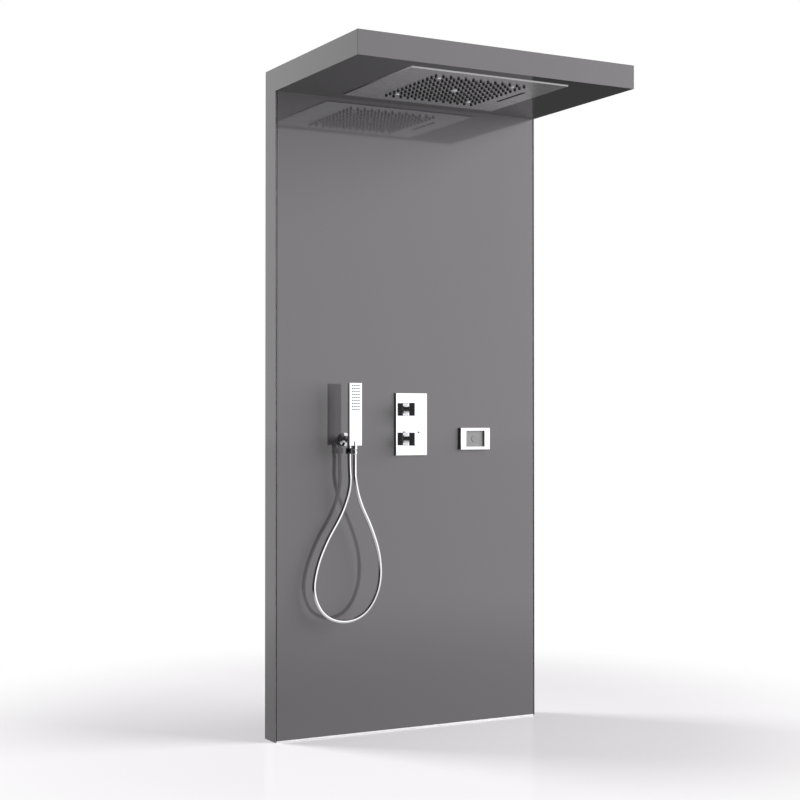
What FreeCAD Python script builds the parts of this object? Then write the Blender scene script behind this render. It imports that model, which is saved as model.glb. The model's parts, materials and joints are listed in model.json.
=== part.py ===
import FreeCAD, Part
import math
import os

# Concealed shower set in a free panel with a canopy.
# Millimetres. The wall is the plane y = 0 and the room lies towards -Y; the floor is z = 0 and x = 0 is the
# middle of the panel. The set's fittings stand on the panel's front face.

# Panel and canopy sheets
PANEL_WIDTH = 1000.0
PANEL_DEPTH = 80.0
CLEAR_HEIGHT = 2104.0
CANOPY_THICKNESS = 76.0
CANOPY_BORDER = 60.0
FRONT_SHEET = 4.0
CHEEK_SHEET = 2.0
BACK_SHEET = 3.0
TOP_SHEET = 3.0
UNDER_SHEET = 4.0
FASCIA_SHEET = 4.0
BASE_SHEET = 3.0
SHADOW_GAP = 4.0
SHEET_EDGE = 0.8

# Inner frame
POST_WIDTH = 40.0
POST_WALL = 3.0
RAIL_HEIGHT = 40.0
RAIL_DEPTH = 30.0
RAIL_WALL = 2.5
LOW_RAIL_Z = 560.0
HIGH_RAIL_Z = 1480.0
BRACKET_SHEET = 6.0
BRACKET_DROP = 160.0
BRACKET_RUN = 240.0
BRACKET_BAND = 44.0
BOLT_RADIUS = 4.0
BOLT_CLEARANCE = 0.1
BOLT_FLATS = 13.0
BOLT_HEAD = 5.3
BOLT_TAIL = 5.0
BOLT_END = 30.0
BOLT_PITCH = 80.0
FIXING_RADIUS = 5.0
FIXING_LOW_Z = 300.0
FIXING_HIGH_Z = 1900.0

# Rain and waterfall head
NOZZLES_PER_SIDE = 13
NOZZLE_PITCH = 27.0
NOZZLE_BORDER = 68.0
NOZZLE_RADIUS = 4.3
NOZZLE_BORE = 1.0
NOZZLE_TIP = 5.5
NOZZLE_CLEARANCE = 0.2
HEAD_SHEET = 2.5
HEAD_EDGE = 0.5
MAT_SHEET = 2.5
MAT_MARGIN = 14.0
LIGHT_STEP = 5
LIGHT_RADIUS = 5.0
CENTRE_LIGHT_RADIUS = 10.0
LIGHT_CLEARANCE = 0.2
LENS_PROUD = 1.5
LENS_DOME = 1.2
LENS_HEIGHT = 12.0
LIGHT_WELL_WALL = 2.0
MODULE_RISE = 24.0
CHAMBER_HEIGHT = 22.0
CHAMBER_WALL = 3.0
FALL_GAP = 19.0
FALL_WIDTH = 40.0
FALL_HEIGHT = 38.0
FALL_WALL = 2.0
FALL_END = 2.0
SLOT_LENGTH = 170.0
SLOT_WIDTH = 13.0
SLOT_INSET = 70.0
SPIGOT_RADIUS = 10.0
SPIGOT_LENGTH = 16.0
SPIGOT_OFFSET = 8.0
HEAD_BOX_INSET = 17.0
HEAD_BOX_HEIGHT = 62.0
HEAD_BOX_SHEET = 1.5
HEAD_BOX_FLANGE = 12.0
HEAD_BOX_CLEARANCE = 1.0
HEAD_BOSS_RADIUS = 5.5
HEAD_BOSS_OFFSET = 9.0
HEAD_BOSS_GAP = 8.0
HEAD_SCREW_RADIUS = 2.5
HEAD_SCREW_CAP = 4.6
HEAD_SCREW_CAP_DEPTH = 1.8
HEAD_SCREW_LENGTH = 18.0
ELBOW_SIDE = 24.0
ELBOW_SETBACK = 60.0

# Water pipes and their fittings
PIPE_RADIUS = 7.5
PIPE_WALL = 1.2
PIPE_BEND = 40.0
PIPE_CLEARANCE = 0.1
PIPE_HOLE_CLEARANCE = 1.0
SOCKET_DEPTH = 8.0
SOCKET_STOP = 0.2
WATERWAY_RADIUS = 5.5
BRANCH_RADIUS = 4.5
PORT_RADIUS = 11.0
PORT_LENGTH = 10.0
FALL_PIPE_RISE = 24.0
VALVE_COLLAR_RADIUS = 14.0
VALVE_COLLAR_RISE = 2.0
VALVE_HALF = 15.0
VALVE_GAP = 8.0
VALVE_REACH = 36.0
INLET_BORE = 9.5
INLET_DEPTH = 12.0
INLET_DROP = 30.0

# Mixer
SET_HEIGHT = 975.0
KNOB_SPACING = 100.0
MIXER_WIDTH = 120.0
MIXER_BORDER = 55.0
MIXER_SHEET = 6.0
MIXER_EDGE = 1.0
GASKET_SHEET = 1.0
GASKET_INSET = 2.0
BOX_RIM = 8.0
BOX_WALL = 2.5
RIM_SHEET = 3.0
BODY_HALF_WIDTH = 32.0
BODY_DEPTH = 30.0
BODY_FOOT = 42.0
BODY_HEAD = 30.0
BOSS_RADIUS = 20.0
BOSS_LENGTH = 18.0
CARTRIDGE_RADIUS = 15.8
CARTRIDGE_CLEARANCE = 0.2
CARTRIDGE_SEAT = 5.0
CARTRIDGE_NOSE = 12.0
CARTRIDGE_NUT_FLATS = 40.0
CARTRIDGE_NUT_LENGTH = 6.0
SPINDLE_RADIUS = 5.0
SPINDLE_CLEARANCE = 0.05
SPINDLE_GRIP = 20.0
SPINDLE_REACH = 30.0
SPINDLE_HOLE_CLEARANCE = 2.0
BEZEL_RADIUS = 15.0
BEZEL_SHEET = 1.5
KNOB_GAP = 0.4
KNOB_NECK_RADIUS = 12.5
KNOB_NECK = 20.0
KNOB_SIDE = 44.0
KNOB_DEPTH = 38.0
KNOB_EDGE = 1.2
STOP_RADIUS = 5.0
STOP_CLEARANCE = 0.1
STOP_PROUD = 4.0
STOP_GRIP = 5.0
STOP_TRAVEL = 2.5
STOP_SETBACK = 9.0
STOP_SPRING_SOLID = 5.5
SPRING_WIRE = 0.4
SPRING_TURNS = 4
SPRING_ARCS_PER_TURN = 4
SPRING_INSET = 1.0

# Hand shower, its outlet and its hose
SIDE_OFFSET = 250.0
OUTLET_ROSE_RADIUS = 22.0
OUTLET_ROSE_RIM = 4.0
OUTLET_ROSE_RISE = 4.0
OUTLET_ARM_RADIUS = 12.0
OUTLET_REACH = 58.0
OUTLET_EDGE = 1.0
OUTLET_TAIL_RADIUS = 13.0
OUTLET_TAIL_CLEARANCE = 0.3
OUTLET_NECK_RADIUS = 7.0
OUTLET_NECK = 12.0
HOSE_SETBACK = 35.0
WALL_NUT_FLATS = 20.0
WALL_NUT_LENGTH = 19.0
WALL_NUT_GAP = 6.0
NUT_CLEARANCE = 0.05
HOOK_STEM_WIDTH = 8.0
HOOK_STEM_DEPTH = 4.0
HOOK_HEAD_WIDTH = 16.0
HOOK_HEAD_DEPTH = 3.0
HOOK_HEIGHT = 20.0
HOOK_CLEARANCE = 0.4
HANGER_WALL = 4.6
HANGER_BACK = 2.0
HANGER_CROWN = 7.0
HANGER_FOOT = 4.5
HANDSET_WIDTH = 46.0
HANDSET_HEIGHT = 205.0
HANDSET_DEPTH = 14.0
HANDSET_FACE = 2.0
HANDSET_DROP = 19.5
HANDSET_EDGE = 2.5
HANDSET_BOSS_RADIUS = 9.0
HANDSET_BOSS_RISE = 14.5
HANDSET_BOSS_TAIL = 6.5
HANDSET_SPIGOT_RADIUS = 6.0
HANDSET_SPIGOT = 8.0
HANDSET_BORE = 4.0
HANDSET_CAVITY = 8.0
HANDSET_CAVITY_MARGIN = 5.5
SPRAY_COLUMNS = 4
SPRAY_ROWS = 9
SPRAY_PITCH_X = 7.8
SPRAY_PITCH_Z = 9.8
SPRAY_TOP = 8.8
SPRAY_RADIUS = 2.4
SPRAY_BORE = 0.5
SPRAY_CLEARANCE = 0.1
SPRAY_TIP = 0.5
SPRAY_SHEET = 1.5
SPRAY_MARGIN = 3.5
CUFF_WAIST_RADIUS = 7.2
CUFF_BAND_RADIUS = 8.8
CUFF_TIP_RADIUS = 7.6
CUFF_COLLAR = 5.0
CUFF_SHOULDER = 1.5
CUFF_FLARE = 5.5
CUFF_BAND = 5.0
CUFF_TAPER = 6.0
HOSE_RADIUS = 6.5
HOSE_BORE = 4.5

# Keypad, its wiring and the light driver
KEYPAD_WIDTH = 118.0
KEYPAD_HEIGHT = 76.0
KEYPAD_DEPTH = 11.0
KEYPAD_EDGE = 1.5
WINDOW_WIDTH = 74.0
WINDOW_HEIGHT = 55.0
WINDOW_RECESS = 6.0
PAD_LAP = 3.0
PAD_SHEET = 3.0
PAD_CLEARANCE = 0.2
BUTTON_RADIUS = 12.0
BUTTON_CLEARANCE = 0.3
BUTTON_PROUD = 1.0
BUTTON_FLANGE = 2.0
BUTTON_FLANGE_SHEET = 1.2
BUTTON_TRAVEL = 1.2
BUTTON_STEM_RADIUS = 2.0
KEYPAD_BOX_INSET = 7.0
KEYPAD_BOX_RIM = 5.0
KEYPAD_BOX_WALL = 2.0
BOARD_SHEET = 1.6
BOARD_SETBACK = 8.0
BOARD_GAP = 0.3
BOARD_PILLAR = 4.0
SWITCH_RADIUS = 3.0
SWITCH_HEIGHT = 1.5
CABLE_RADIUS = 3.0
CABLE_GAP = 1.0
CABLE_HOLE_CLEARANCE = 0.3
CABLE_BEND = 30.0
CABLE_LEAD_IN = 8.0
CABLE_RISE = 46.0
DRIVER_WIDTH = 160.0
DRIVER_HEIGHT = 60.0
DRIVER_EDGE = 3.0
DRIVER_BACK = 6.0
GLAND_RADIUS = 9.0
GLAND_BORE = 4.5
GLAND_LENGTH = 24.0
GLAND_OFFSET = 60.0
GLAND_DROP = 80.0
GLAND_CLEARANCE = 0.1

# Hose route from the wall nut down, round its loop and up to the handset's nut
HOSE_POINTS = (
    (-250.0, -115.0, 928.0), (-250.0, -115.0, 884.0), (-247.0, -117.0, 838.0), (-255.0, -117.0, 790.0),
    (-282.0, -117.0, 724.0), (-332.0, -117.0, 648.0), (-371.0, -118.0, 560.0), (-385.0, -120.0, 472.0),
    (-346.0, -128.0, 398.0), (-268.0, -137.0, 376.0), (-197.0, -147.0, 409.0), (-156.0, -154.0, 491.0),
    (-156.0, -155.0, 590.0), (-190.0, -155.0, 690.0), (-232.0, -155.0, 770.0), (-251.0, -157.0, 846.0),
    (-250.0, -154.8, 886.0), (-250.0, -154.8, 926.0),
)
ARC_SHARE = 0.45

# Planes worked out from the sheets
FRONT_Y = -PANEL_DEPTH
INNER_FRONT_Y = FRONT_Y + FRONT_SHEET
INNER_BACK_Y = -BACK_SHEET
INNER_HALF = PANEL_WIDTH / 2 - CHEEK_SHEET
FRAME_HALF = INNER_HALF - POST_WIDTH
TOP_Z = CLEAR_HEIGHT + CANOPY_THICKNESS
INNER_TOP_Z = TOP_Z - TOP_SHEET
CANOPY_FLOOR_Z = CLEAR_HEIGHT + UNDER_SHEET
RAIL_BACK_Y = INNER_FRONT_Y + RAIL_DEPTH

# Head sizes worked out from the nozzle field
FIELD_HALF = (NOZZLES_PER_SIDE - 1) / 2 * NOZZLE_PITCH
MAT_HALF = FIELD_HALF + MAT_MARGIN
HEAD_LENGTH = 2 * (FIELD_HALF + NOZZLE_BORDER)
SLOT_X = MAT_HALF + FALL_GAP + FALL_WIDTH / 2
HEAD_WIDTH = 2 * (SLOT_X + SLOT_INSET)
CANOPY_REACH = HEAD_LENGTH + 2 * CANOPY_BORDER
CANOPY_FRONT_Y = FRONT_Y - CANOPY_REACH
CANOPY_INNER_Y = CANOPY_FRONT_Y + FASCIA_SHEET
HEAD_Y = FRONT_Y - CANOPY_REACH / 2
HEAD_FACE_Z = CLEAR_HEIGHT - HEAD_SHEET
BOX_HALF_X = HEAD_WIDTH / 2 - HEAD_BOX_INSET
BOX_HALF_Y = HEAD_LENGTH / 2 - HEAD_BOX_INSET
HEAD_SCREW_X = SLOT_X + HEAD_BOSS_OFFSET
HEAD_SCREW_Y = SLOT_LENGTH / 2 + FALL_END + HEAD_BOSS_GAP
CHAMBER_TOP_Z = CLEAR_HEIGHT + MAT_SHEET + CHAMBER_HEIGHT
RAIN_PIPE_Z = CHAMBER_TOP_Z + ELBOW_SIDE / 2
FALL_PIPE_Z = CLEAR_HEIGHT + FALL_PIPE_RISE
FALL_PIPE_X = SLOT_X - SPIGOT_OFFSET
FALL_HALF_Y = SLOT_LENGTH / 2 + FALL_END
ELBOW_Y = HEAD_Y + ELBOW_SETBACK

# Mixer places
FLOW_Z = SET_HEIGHT + KNOB_SPACING
MIXER_Z = SET_HEIGHT + KNOB_SPACING / 2
MIXER_HEIGHT = KNOB_SPACING + 2 * MIXER_BORDER
INLET_Z = SET_HEIGHT - INLET_DROP
BOX_HALF_W = MIXER_WIDTH / 2 - BOX_RIM
BOX_HALF_H = MIXER_HEIGHT / 2 - BOX_RIM
BODY_BACK_Y = INNER_BACK_Y - BOX_WALL
BODY_FRONT_Y = BODY_BACK_Y - BODY_DEPTH
BODY_FOOT_Z = SET_HEIGHT - BODY_FOOT
BODY_TOP_Z = FLOW_Z + BODY_HEAD
PIPE_Y = (BODY_BACK_Y + BODY_FRONT_Y) / 2
RISER_X = CARTRIDGE_RADIUS - WATERWAY_RADIUS
BOSS_Y = BODY_FRONT_Y - BOSS_LENGTH
NOSE_Y = BOSS_Y - CARTRIDGE_NOSE
GASKET_Y = FRONT_Y - GASKET_SHEET
MIXER_FACE_Y = GASKET_Y - MIXER_SHEET
NECK_Y = MIXER_FACE_Y - BEZEL_SHEET - KNOB_GAP
KNOB_BACK_Y = NECK_Y - KNOB_NECK
KNOB_FACE_Y = KNOB_BACK_Y - KNOB_DEPTH
STOP_Y = KNOB_FACE_Y + STOP_SETBACK
KNOB_TOP_Z = SET_HEIGHT + KNOB_SIDE / 2
STOP_WELL = STOP_GRIP + STOP_TRAVEL + STOP_SPRING_SOLID
VALVE_X = BOX_HALF_W + VALVE_GAP + VALVE_HALF

# Hand shower places
HAND_X = -SIDE_OFFSET
OUTLET_FACE_Y = FRONT_Y - OUTLET_REACH
OUTLET_FOOT_Z = SET_HEIGHT - OUTLET_ROSE_RADIUS
OUTLET_HOSE_Y = FRONT_Y - HOSE_SETBACK
WALL_NUT_TOP_Z = OUTLET_FOOT_Z - WALL_NUT_GAP
WALL_NUT_FOOT_Z = WALL_NUT_TOP_Z - WALL_NUT_LENGTH
HOOK_FACE_Y = OUTLET_FACE_Y - HOOK_STEM_DEPTH - HOOK_HEAD_DEPTH
HOOK_TOP_Z = SET_HEIGHT + HOOK_HEIGHT / 2
HANGER_Y = OUTLET_FACE_Y - HOOK_CLEARANCE
HANDSET_BACK_Y = HOOK_FACE_Y - 2 * HOOK_CLEARANCE - HANGER_BACK
HANDSET_FACE_Y = HANDSET_BACK_Y - HANDSET_DEPTH
HANDSET_FOOT_Z = SET_HEIGHT - HANDSET_DROP
HANDSET_TOP_Z = HANDSET_FOOT_Z + HANDSET_HEIGHT
HANDSET_Y = (HANDSET_BACK_Y + HANDSET_FACE_Y) / 2
SKIN_Y = HANDSET_FACE_Y + HANDSET_FACE
HANDSET_BOSS_FOOT_Z = HANDSET_FOOT_Z - HANDSET_BOSS_TAIL
SPRAY_TOP_Z = HANDSET_TOP_Z - SPRAY_TOP
SPRAY_FOOT_Z = SPRAY_TOP_Z - (SPRAY_ROWS - 1) * SPRAY_PITCH_Z

# Keypad places
KEYPAD_X = SIDE_OFFSET
KEYPAD_FACE_Y = FRONT_Y - KEYPAD_DEPTH
PAD_FACE_Y = KEYPAD_FACE_Y + WINDOW_RECESS
PAD_BACK_Y = PAD_FACE_Y + PAD_SHEET
BUTTON_BACK_Y = PAD_BACK_Y + BUTTON_FLANGE_SHEET
BOARD_Y = INNER_FRONT_Y + BOARD_SETBACK
CABLE_Y = RAIL_BACK_Y + CABLE_GAP + CABLE_RADIUS
KEYPAD_BOX_BACK_Y = CABLE_Y + CABLE_RADIUS + CABLE_GAP + KEYPAD_BOX_WALL
KEYPAD_BOX_HALF_W = KEYPAD_WIDTH / 2 - KEYPAD_BOX_INSET
KEYPAD_BOX_HALF_H = KEYPAD_HEIGHT / 2 - KEYPAD_BOX_INSET
DRIVER_FOOT_Z = HIGH_RAIL_Z + RAIL_HEIGHT
DRIVER_TOP_Z = DRIVER_FOOT_Z + DRIVER_HEIGHT
CABLE_Z = CLEAR_HEIGHT + CABLE_RISE
GLAND_X = KEYPAD_X + GLAND_OFFSET
GLAND_Z = HIGH_RAIL_Z - GLAND_DROP

# Allowance by which a cutter runs past the face that it opens
PAST = 1.0


def point(x, y, z):
    """A position in the part's frame."""
    return FreeCAD.Vector(x, y, z)


def block(x_span, y_span, z_span):
    """A box between three pairs of limits."""
    low = point(min(x_span), min(y_span), min(z_span))
    high = point(max(x_span), max(y_span), max(z_span))
    size = high - low
    return Part.makeBox(size.x, size.y, size.z, low)


def around(centre, half):
    """The pair of limits that lie the same distance either side of a centre."""
    return (centre - half, centre + half)


def rod(radius, start, end):
    """A round bar between two positions."""
    axis = end - start
    return Part.makeCylinder(radius, axis.Length, start, axis)


def ring(outer, inner, start, end):
    """A round bar with a bore right through it."""
    return rod(outer, start, end).cut(rod(inner, start, end))


def hexagon(flats, start, end):
    """A hexagonal bar along one of the axes, given across its flats."""
    axis = end - start
    corner = flats / math.sqrt(3)
    across = point(1, 0, 0) if axis.y else point(0, 1, 0)
    upright = point(1, 0, 0) if axis.z else point(0, 0, 1)
    corners = []
    for step in range(7):
        angle = math.radians(60 * step)
        corners.append(start + across * (corner * math.cos(angle)) + upright * (corner * math.sin(angle)))
    return Part.Face(Part.makePolygon(corners)).extrude(axis)


def turned(profile, x, y):
    """A solid of revolution about an upright axis, from (radius, height) pairs."""
    corners = [point(x + radius, y, z) for radius, z in profile]
    corners.append(corners[0])
    face = Part.Face(Part.makePolygon(corners))
    return face.revolve(point(x, y, 0), point(0, 0, 1), 360)


def turned_across(profile, x, z):
    """A solid of revolution about an axis along Y, from (radius, y) pairs."""
    corners = [point(x + radius, y, z) for radius, y in profile]
    corners.append(corners[0])
    face = Part.Face(Part.makePolygon(corners))
    return face.revolve(point(x, 0, z), point(0, 1, 0), 360)


def side_plate(outline, x_start, thickness):
    """A flat sheet that stands across X, from (y, z) pairs."""
    corners = [point(x_start, y, z) for y, z in outline]
    corners.append(corners[0])
    return Part.Face(Part.makePolygon(corners)).extrude(point(thickness, 0, 0))


def edges_along(shape, direction, test):
    """The straight edges that run along a direction and whose middle passes a test."""
    found = []
    for edge in shape.Edges:
        run = edge.Vertexes[-1].Point - edge.Vertexes[0].Point
        straight = run.Length > 0 and abs(run.dot(direction)) > 0.999 * run.Length
        if straight and test(edge.BoundBox.Center):
            found.append(edge)
    return found


def rounded_path(points, radii):
    """A wire of straight runs joined by tangent arcs, one radius for each inner point."""
    edges = []
    start = points[0]
    for corner, after, radius in zip(points[1:-1], points[2:], radii):
        inward = (corner - start).normalize()
        outward = (after - corner).normalize()
        half_turn = inward.getAngle(outward) / 2
        reach = radius * math.tan(half_turn)
        arc_start = corner - inward * reach
        arc_end = corner + outward * reach
        sagitta = radius / math.cos(half_turn) - radius
        arc_middle = corner + (outward - inward).normalize() * sagitta
        edges.append(Part.LineSegment(start, arc_start).toShape())
        edges.append(Part.Arc(arc_start, arc_middle, arc_end).toShape())
        start = arc_end
    edges.append(Part.LineSegment(start, points[-1]).toShape())
    return Part.Wire(edges)


def swept(path, radius):
    """A round bar along a wire."""
    first = path.OrderedEdges[0]
    start = first.valueAt(first.FirstParameter)
    circle = Part.Wire(Part.makeCircle(radius, start, first.tangentAt(first.FirstParameter)))
    return path.makePipeShell([circle], True, False)


def bent_pipe(points, bend, outer, inner):
    """A pipe with its bore, bent to one radius at each inner point."""
    path = rounded_path(points, [bend] * (len(points) - 2))
    return swept(path, outer).cut(swept(path, inner))


def coil_spring(radius, start, end):
    """A compression spring between two positions on its axis."""
    axis = end - start
    arcs = SPRING_TURNS * SPRING_ARCS_PER_TURN
    climb = axis.Length - 2 * SPRING_WIRE
    coil = []
    for step in range(2 * arcs + 1):
        share = step / (2 * arcs)
        angle = 2 * math.pi * SPRING_TURNS * share
        coil.append(point(radius * math.cos(angle), radius * math.sin(angle), SPRING_WIRE + climb * share))
    path = Part.Wire([Part.Arc(*coil[2 * arc:2 * arc + 3]).toShape() for arc in range(arcs)])
    spring = swept(path, SPRING_WIRE)
    spring.Placement = FreeCAD.Placement(start, FreeCAD.Rotation(point(0, 0, 1), axis))
    return spring


def tray(x_span, z_span, front_y, back_y, wall, rim, rim_sheet):
    """A box open to the front, with a rim that lies against the back of the front sheet."""
    outer = block(x_span, (front_y, back_y), z_span)
    wide = (x_span[0] - rim, x_span[1] + rim)
    tall = (z_span[0] - rim, z_span[1] + rim)
    collar = block(wide, (front_y, front_y + rim_sheet), tall)
    inside_x = (x_span[0] + wall, x_span[1] - wall)
    inside_z = (z_span[0] + wall, z_span[1] - wall)
    return outer.fuse(collar).cut(block(inside_x, (front_y - PAST, back_y - wall), inside_z))


# Panel and canopy


def front_panel():
    half = INNER_HALF - SHADOW_GAP
    sheet = block((-half, half), (FRONT_Y, INNER_FRONT_Y), (0, CLEAR_HEIGHT))
    front_edges = edges_along(sheet, point(0, 0, 1), lambda middle: middle.y < FRONT_Y + SHEET_EDGE)
    sheet = sheet.makeFillet(SHEET_EDGE, front_edges)
    through = (FRONT_Y - PAST, INNER_FRONT_Y + PAST)
    mixer = block(around(0, BOX_HALF_W - BOX_WALL), through, around(MIXER_Z, BOX_HALF_H - BOX_WALL))
    keypad = block(around(KEYPAD_X, KEYPAD_BOX_HALF_W - KEYPAD_BOX_WALL), through,
                   around(SET_HEIGHT, KEYPAD_BOX_HALF_H - KEYPAD_BOX_WALL))
    outlet = rod(OUTLET_TAIL_RADIUS + OUTLET_TAIL_CLEARANCE, point(HAND_X, through[0], SET_HEIGHT),
                 point(HAND_X, through[1], SET_HEIGHT))
    return sheet.cut([mixer, keypad, outlet])


def cheek(side):
    """One L-shaped side sheet, with its outer edges eased."""
    outline = ((0, 0), (FRONT_Y, 0), (FRONT_Y, CLEAR_HEIGHT), (CANOPY_FRONT_Y, CLEAR_HEIGHT),
               (CANOPY_FRONT_Y, TOP_Z), (0, TOP_Z))
    sheet = side_plate(outline, side * INNER_HALF, side * CHEEK_SHEET)
    outer_edges = [edge for edge in sheet.Edges if edge.BoundBox.XLength < SHEET_EDGE
                   and abs(edge.BoundBox.Center.x) > INNER_HALF + CHEEK_SHEET / 2]
    return sheet.makeFillet(min(SHEET_EDGE, CHEEK_SHEET / 2), outer_edges)


def left_cheek():
    return cheek(-1)


def right_cheek():
    return cheek(1)


def canopy_underside():
    sheet = block((-INNER_HALF, INNER_HALF), (CANOPY_INNER_Y, INNER_FRONT_Y), (CLEAR_HEIGHT, CANOPY_FLOOR_Z))
    opening = block(around(0, BOX_HALF_X + HEAD_BOX_CLEARANCE),
                    around(HEAD_Y, BOX_HALF_Y + HEAD_BOX_CLEARANCE),
                    (CLEAR_HEIGHT - PAST, CANOPY_FLOOR_Z + PAST))
    return sheet.cut(opening)


def canopy_fascia():
    sheet = block((-INNER_HALF, INNER_HALF), (CANOPY_FRONT_Y, CANOPY_INNER_Y), (CLEAR_HEIGHT, TOP_Z))
    front_edges = edges_along(sheet, point(1, 0, 0), lambda middle: middle.y < CANOPY_FRONT_Y + SHEET_EDGE)
    return sheet.makeFillet(SHEET_EDGE, front_edges)


def canopy_top():
    return block((-INNER_HALF, INNER_HALF), (CANOPY_INNER_Y, 0), (INNER_TOP_Z, TOP_Z))


def fixing_places():
    """The wall fixings: one low and one high in the middle of each post."""
    places = []
    for side in (-1, 1):
        for height in (FIXING_LOW_Z, FIXING_HIGH_Z):
            places.append((side * (INNER_HALF - POST_WIDTH / 2), height))
    return places


def fixing_holes():
    """Cutters for the wall fixings through the back board and the back of the posts."""
    return [rod(FIXING_RADIUS, point(x, PAST, z), point(x, INNER_BACK_Y - POST_WALL - PAST, z))
            for x, z in fixing_places()]


def back_board():
    sheet = block((-INNER_HALF, INNER_HALF), (INNER_BACK_Y, 0), (0, INNER_TOP_Z))
    cutters = fixing_holes()
    for side in (-1, 1):
        x = side * VALVE_X
        cutters.append(rod(VALVE_COLLAR_RADIUS + PIPE_CLEARANCE, point(x, INNER_BACK_Y - PAST, INLET_Z),
                           point(x, PAST, INLET_Z)))
    cutters.append(rod(GLAND_RADIUS + GLAND_CLEARANCE, point(GLAND_X, INNER_BACK_Y - PAST, GLAND_Z),
                       point(GLAND_X, PAST, GLAND_Z)))
    return sheet.cut(cutters)


def base_plate():
    return block((-FRAME_HALF, FRAME_HALF), (INNER_FRONT_Y, INNER_BACK_Y), (0, BASE_SHEET))


# Inner frame


def frame_posts():
    posts = []
    for side in (-1, 1):
        x_span = (side * FRAME_HALF, side * INNER_HALF)
        inside_x = (side * (FRAME_HALF + POST_WALL), side * (INNER_HALF - POST_WALL))
        post = block(x_span, (INNER_FRONT_Y, INNER_BACK_Y), (0, INNER_TOP_Z))
        hollow = block(inside_x, (INNER_FRONT_Y + POST_WALL, INNER_BACK_Y - POST_WALL),
                       (-PAST, INNER_TOP_Z + PAST))
        posts.append(post.cut([hollow] + fixing_holes() + bolt_holes(side)))
    return Part.makeCompound(posts)


def cross_rail(y_span, z_span):
    """A rectangular tube that lies across the frame between the posts or the arms."""
    inside_y = (y_span[0] + RAIL_WALL, y_span[1] - RAIL_WALL)
    inside_z = (z_span[0] + RAIL_WALL, z_span[1] - RAIL_WALL)
    bar = block((-FRAME_HALF, FRAME_HALF), y_span, z_span)
    return bar.cut(block((-FRAME_HALF - PAST, FRAME_HALF + PAST), inside_y, inside_z))


def cross_rails():
    y_span = (INNER_FRONT_Y, RAIL_BACK_Y)
    return Part.makeCompound([cross_rail(y_span, (foot, foot + RAIL_HEIGHT))
                              for foot in (BASE_SHEET, LOW_RAIL_Z, HIGH_RAIL_Z)])


def canopy_arms():
    arms = []
    for side in (-1, 1):
        inside_x = (side * (FRAME_HALF + POST_WALL), side * (INNER_HALF - POST_WALL))
        arm = block((side * FRAME_HALF, side * INNER_HALF), (CANOPY_INNER_Y, INNER_FRONT_Y),
                    (CANOPY_FLOOR_Z, INNER_TOP_Z))
        hollow = block(inside_x, (CANOPY_INNER_Y - PAST, INNER_FRONT_Y + PAST),
                       (CANOPY_FLOOR_Z + POST_WALL, INNER_TOP_Z - POST_WALL))
        arms.append(arm.cut([hollow] + bolt_holes(side)))
    return Part.makeCompound(arms)


def canopy_front_rail():
    return cross_rail((CANOPY_INNER_Y, CANOPY_INNER_Y + RAIL_DEPTH), (CANOPY_FLOOR_Z, INNER_TOP_Z))


def bolt_places():
    """The bolts of one corner bracket, as (y, z): two in its upright leg and two in its level leg."""
    upright_y = INNER_FRONT_Y + BRACKET_BAND / 2
    level_z = CANOPY_FLOOR_Z + BRACKET_BAND / 2
    low = CLEAR_HEIGHT - BRACKET_DROP + BOLT_END
    far = INNER_FRONT_Y - BRACKET_RUN + BOLT_END
    return ((upright_y, low), (upright_y, low + BOLT_PITCH), (far, level_z), (far + BOLT_PITCH, level_z))


def bolt_shanks(side, radius):
    """The shanks of one bracket's bolts, or the cutters for their holes."""
    inner = FRAME_HALF - BRACKET_SHEET
    outer = FRAME_HALF + POST_WALL + BOLT_TAIL
    return [rod(radius, point(side * inner, y, z), point(side * outer, y, z)) for y, z in bolt_places()]


def bolt_holes(side):
    return bolt_shanks(side, BOLT_RADIUS + BOLT_CLEARANCE)


def corner_brackets():
    back_y = INNER_FRONT_Y + BRACKET_BAND
    far_y = INNER_FRONT_Y - BRACKET_RUN
    crown_z = CANOPY_FLOOR_Z + BRACKET_BAND
    foot_z = CLEAR_HEIGHT - BRACKET_DROP
    outline = ((back_y, foot_z), (INNER_FRONT_Y, foot_z), (INNER_FRONT_Y, CANOPY_FLOOR_Z),
               (far_y, CANOPY_FLOOR_Z), (far_y, crown_z), (back_y, crown_z))
    brackets = []
    for side in (-1, 1):
        sheet = side_plate(outline, side * FRAME_HALF, -side * BRACKET_SHEET)
        brackets.append(sheet.cut(bolt_holes(side)))
    return Part.makeCompound(brackets)


def frame_bolts():
    bolts = []
    for side in (-1, 1):
        inner = side * (FRAME_HALF - BRACKET_SHEET)
        for shank, (y, z) in zip(bolt_shanks(side, BOLT_RADIUS), bolt_places()):
            head = hexagon(BOLT_FLATS, point(inner, y, z), point(inner - side * BOLT_HEAD, y, z))
            bolts.append(shank.fuse(head))
    return Part.makeCompound(bolts)


# Rain and waterfall head


def light_places():
    """The four small lights and the middle one, as (x, y, radius)."""
    reach = LIGHT_STEP * NOZZLE_PITCH
    places = [(0.0, HEAD_Y, CENTRE_LIGHT_RADIUS)]
    for x_side in (-1, 1):
        for y_side in (-1, 1):
            places.append((x_side * reach, HEAD_Y + y_side * reach, LIGHT_RADIUS))
    return places


def nozzle_places():
    """The nozzle grid as (x, y), without the places that the lights take."""
    lights = light_places()
    places = []
    for column in range(NOZZLES_PER_SIDE):
        for row in range(NOZZLES_PER_SIDE):
            x = column * NOZZLE_PITCH - FIELD_HALF
            y = HEAD_Y + row * NOZZLE_PITCH - FIELD_HALF
            if all(math.hypot(x - light[0], y - light[1]) > light[2] for light in lights):
                places.append((x, y))
    return places


def head_screw_places():
    return [(x_side * HEAD_SCREW_X, HEAD_Y + y_side * HEAD_SCREW_Y)
            for x_side in (-1, 1) for y_side in (-1, 1)]


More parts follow.
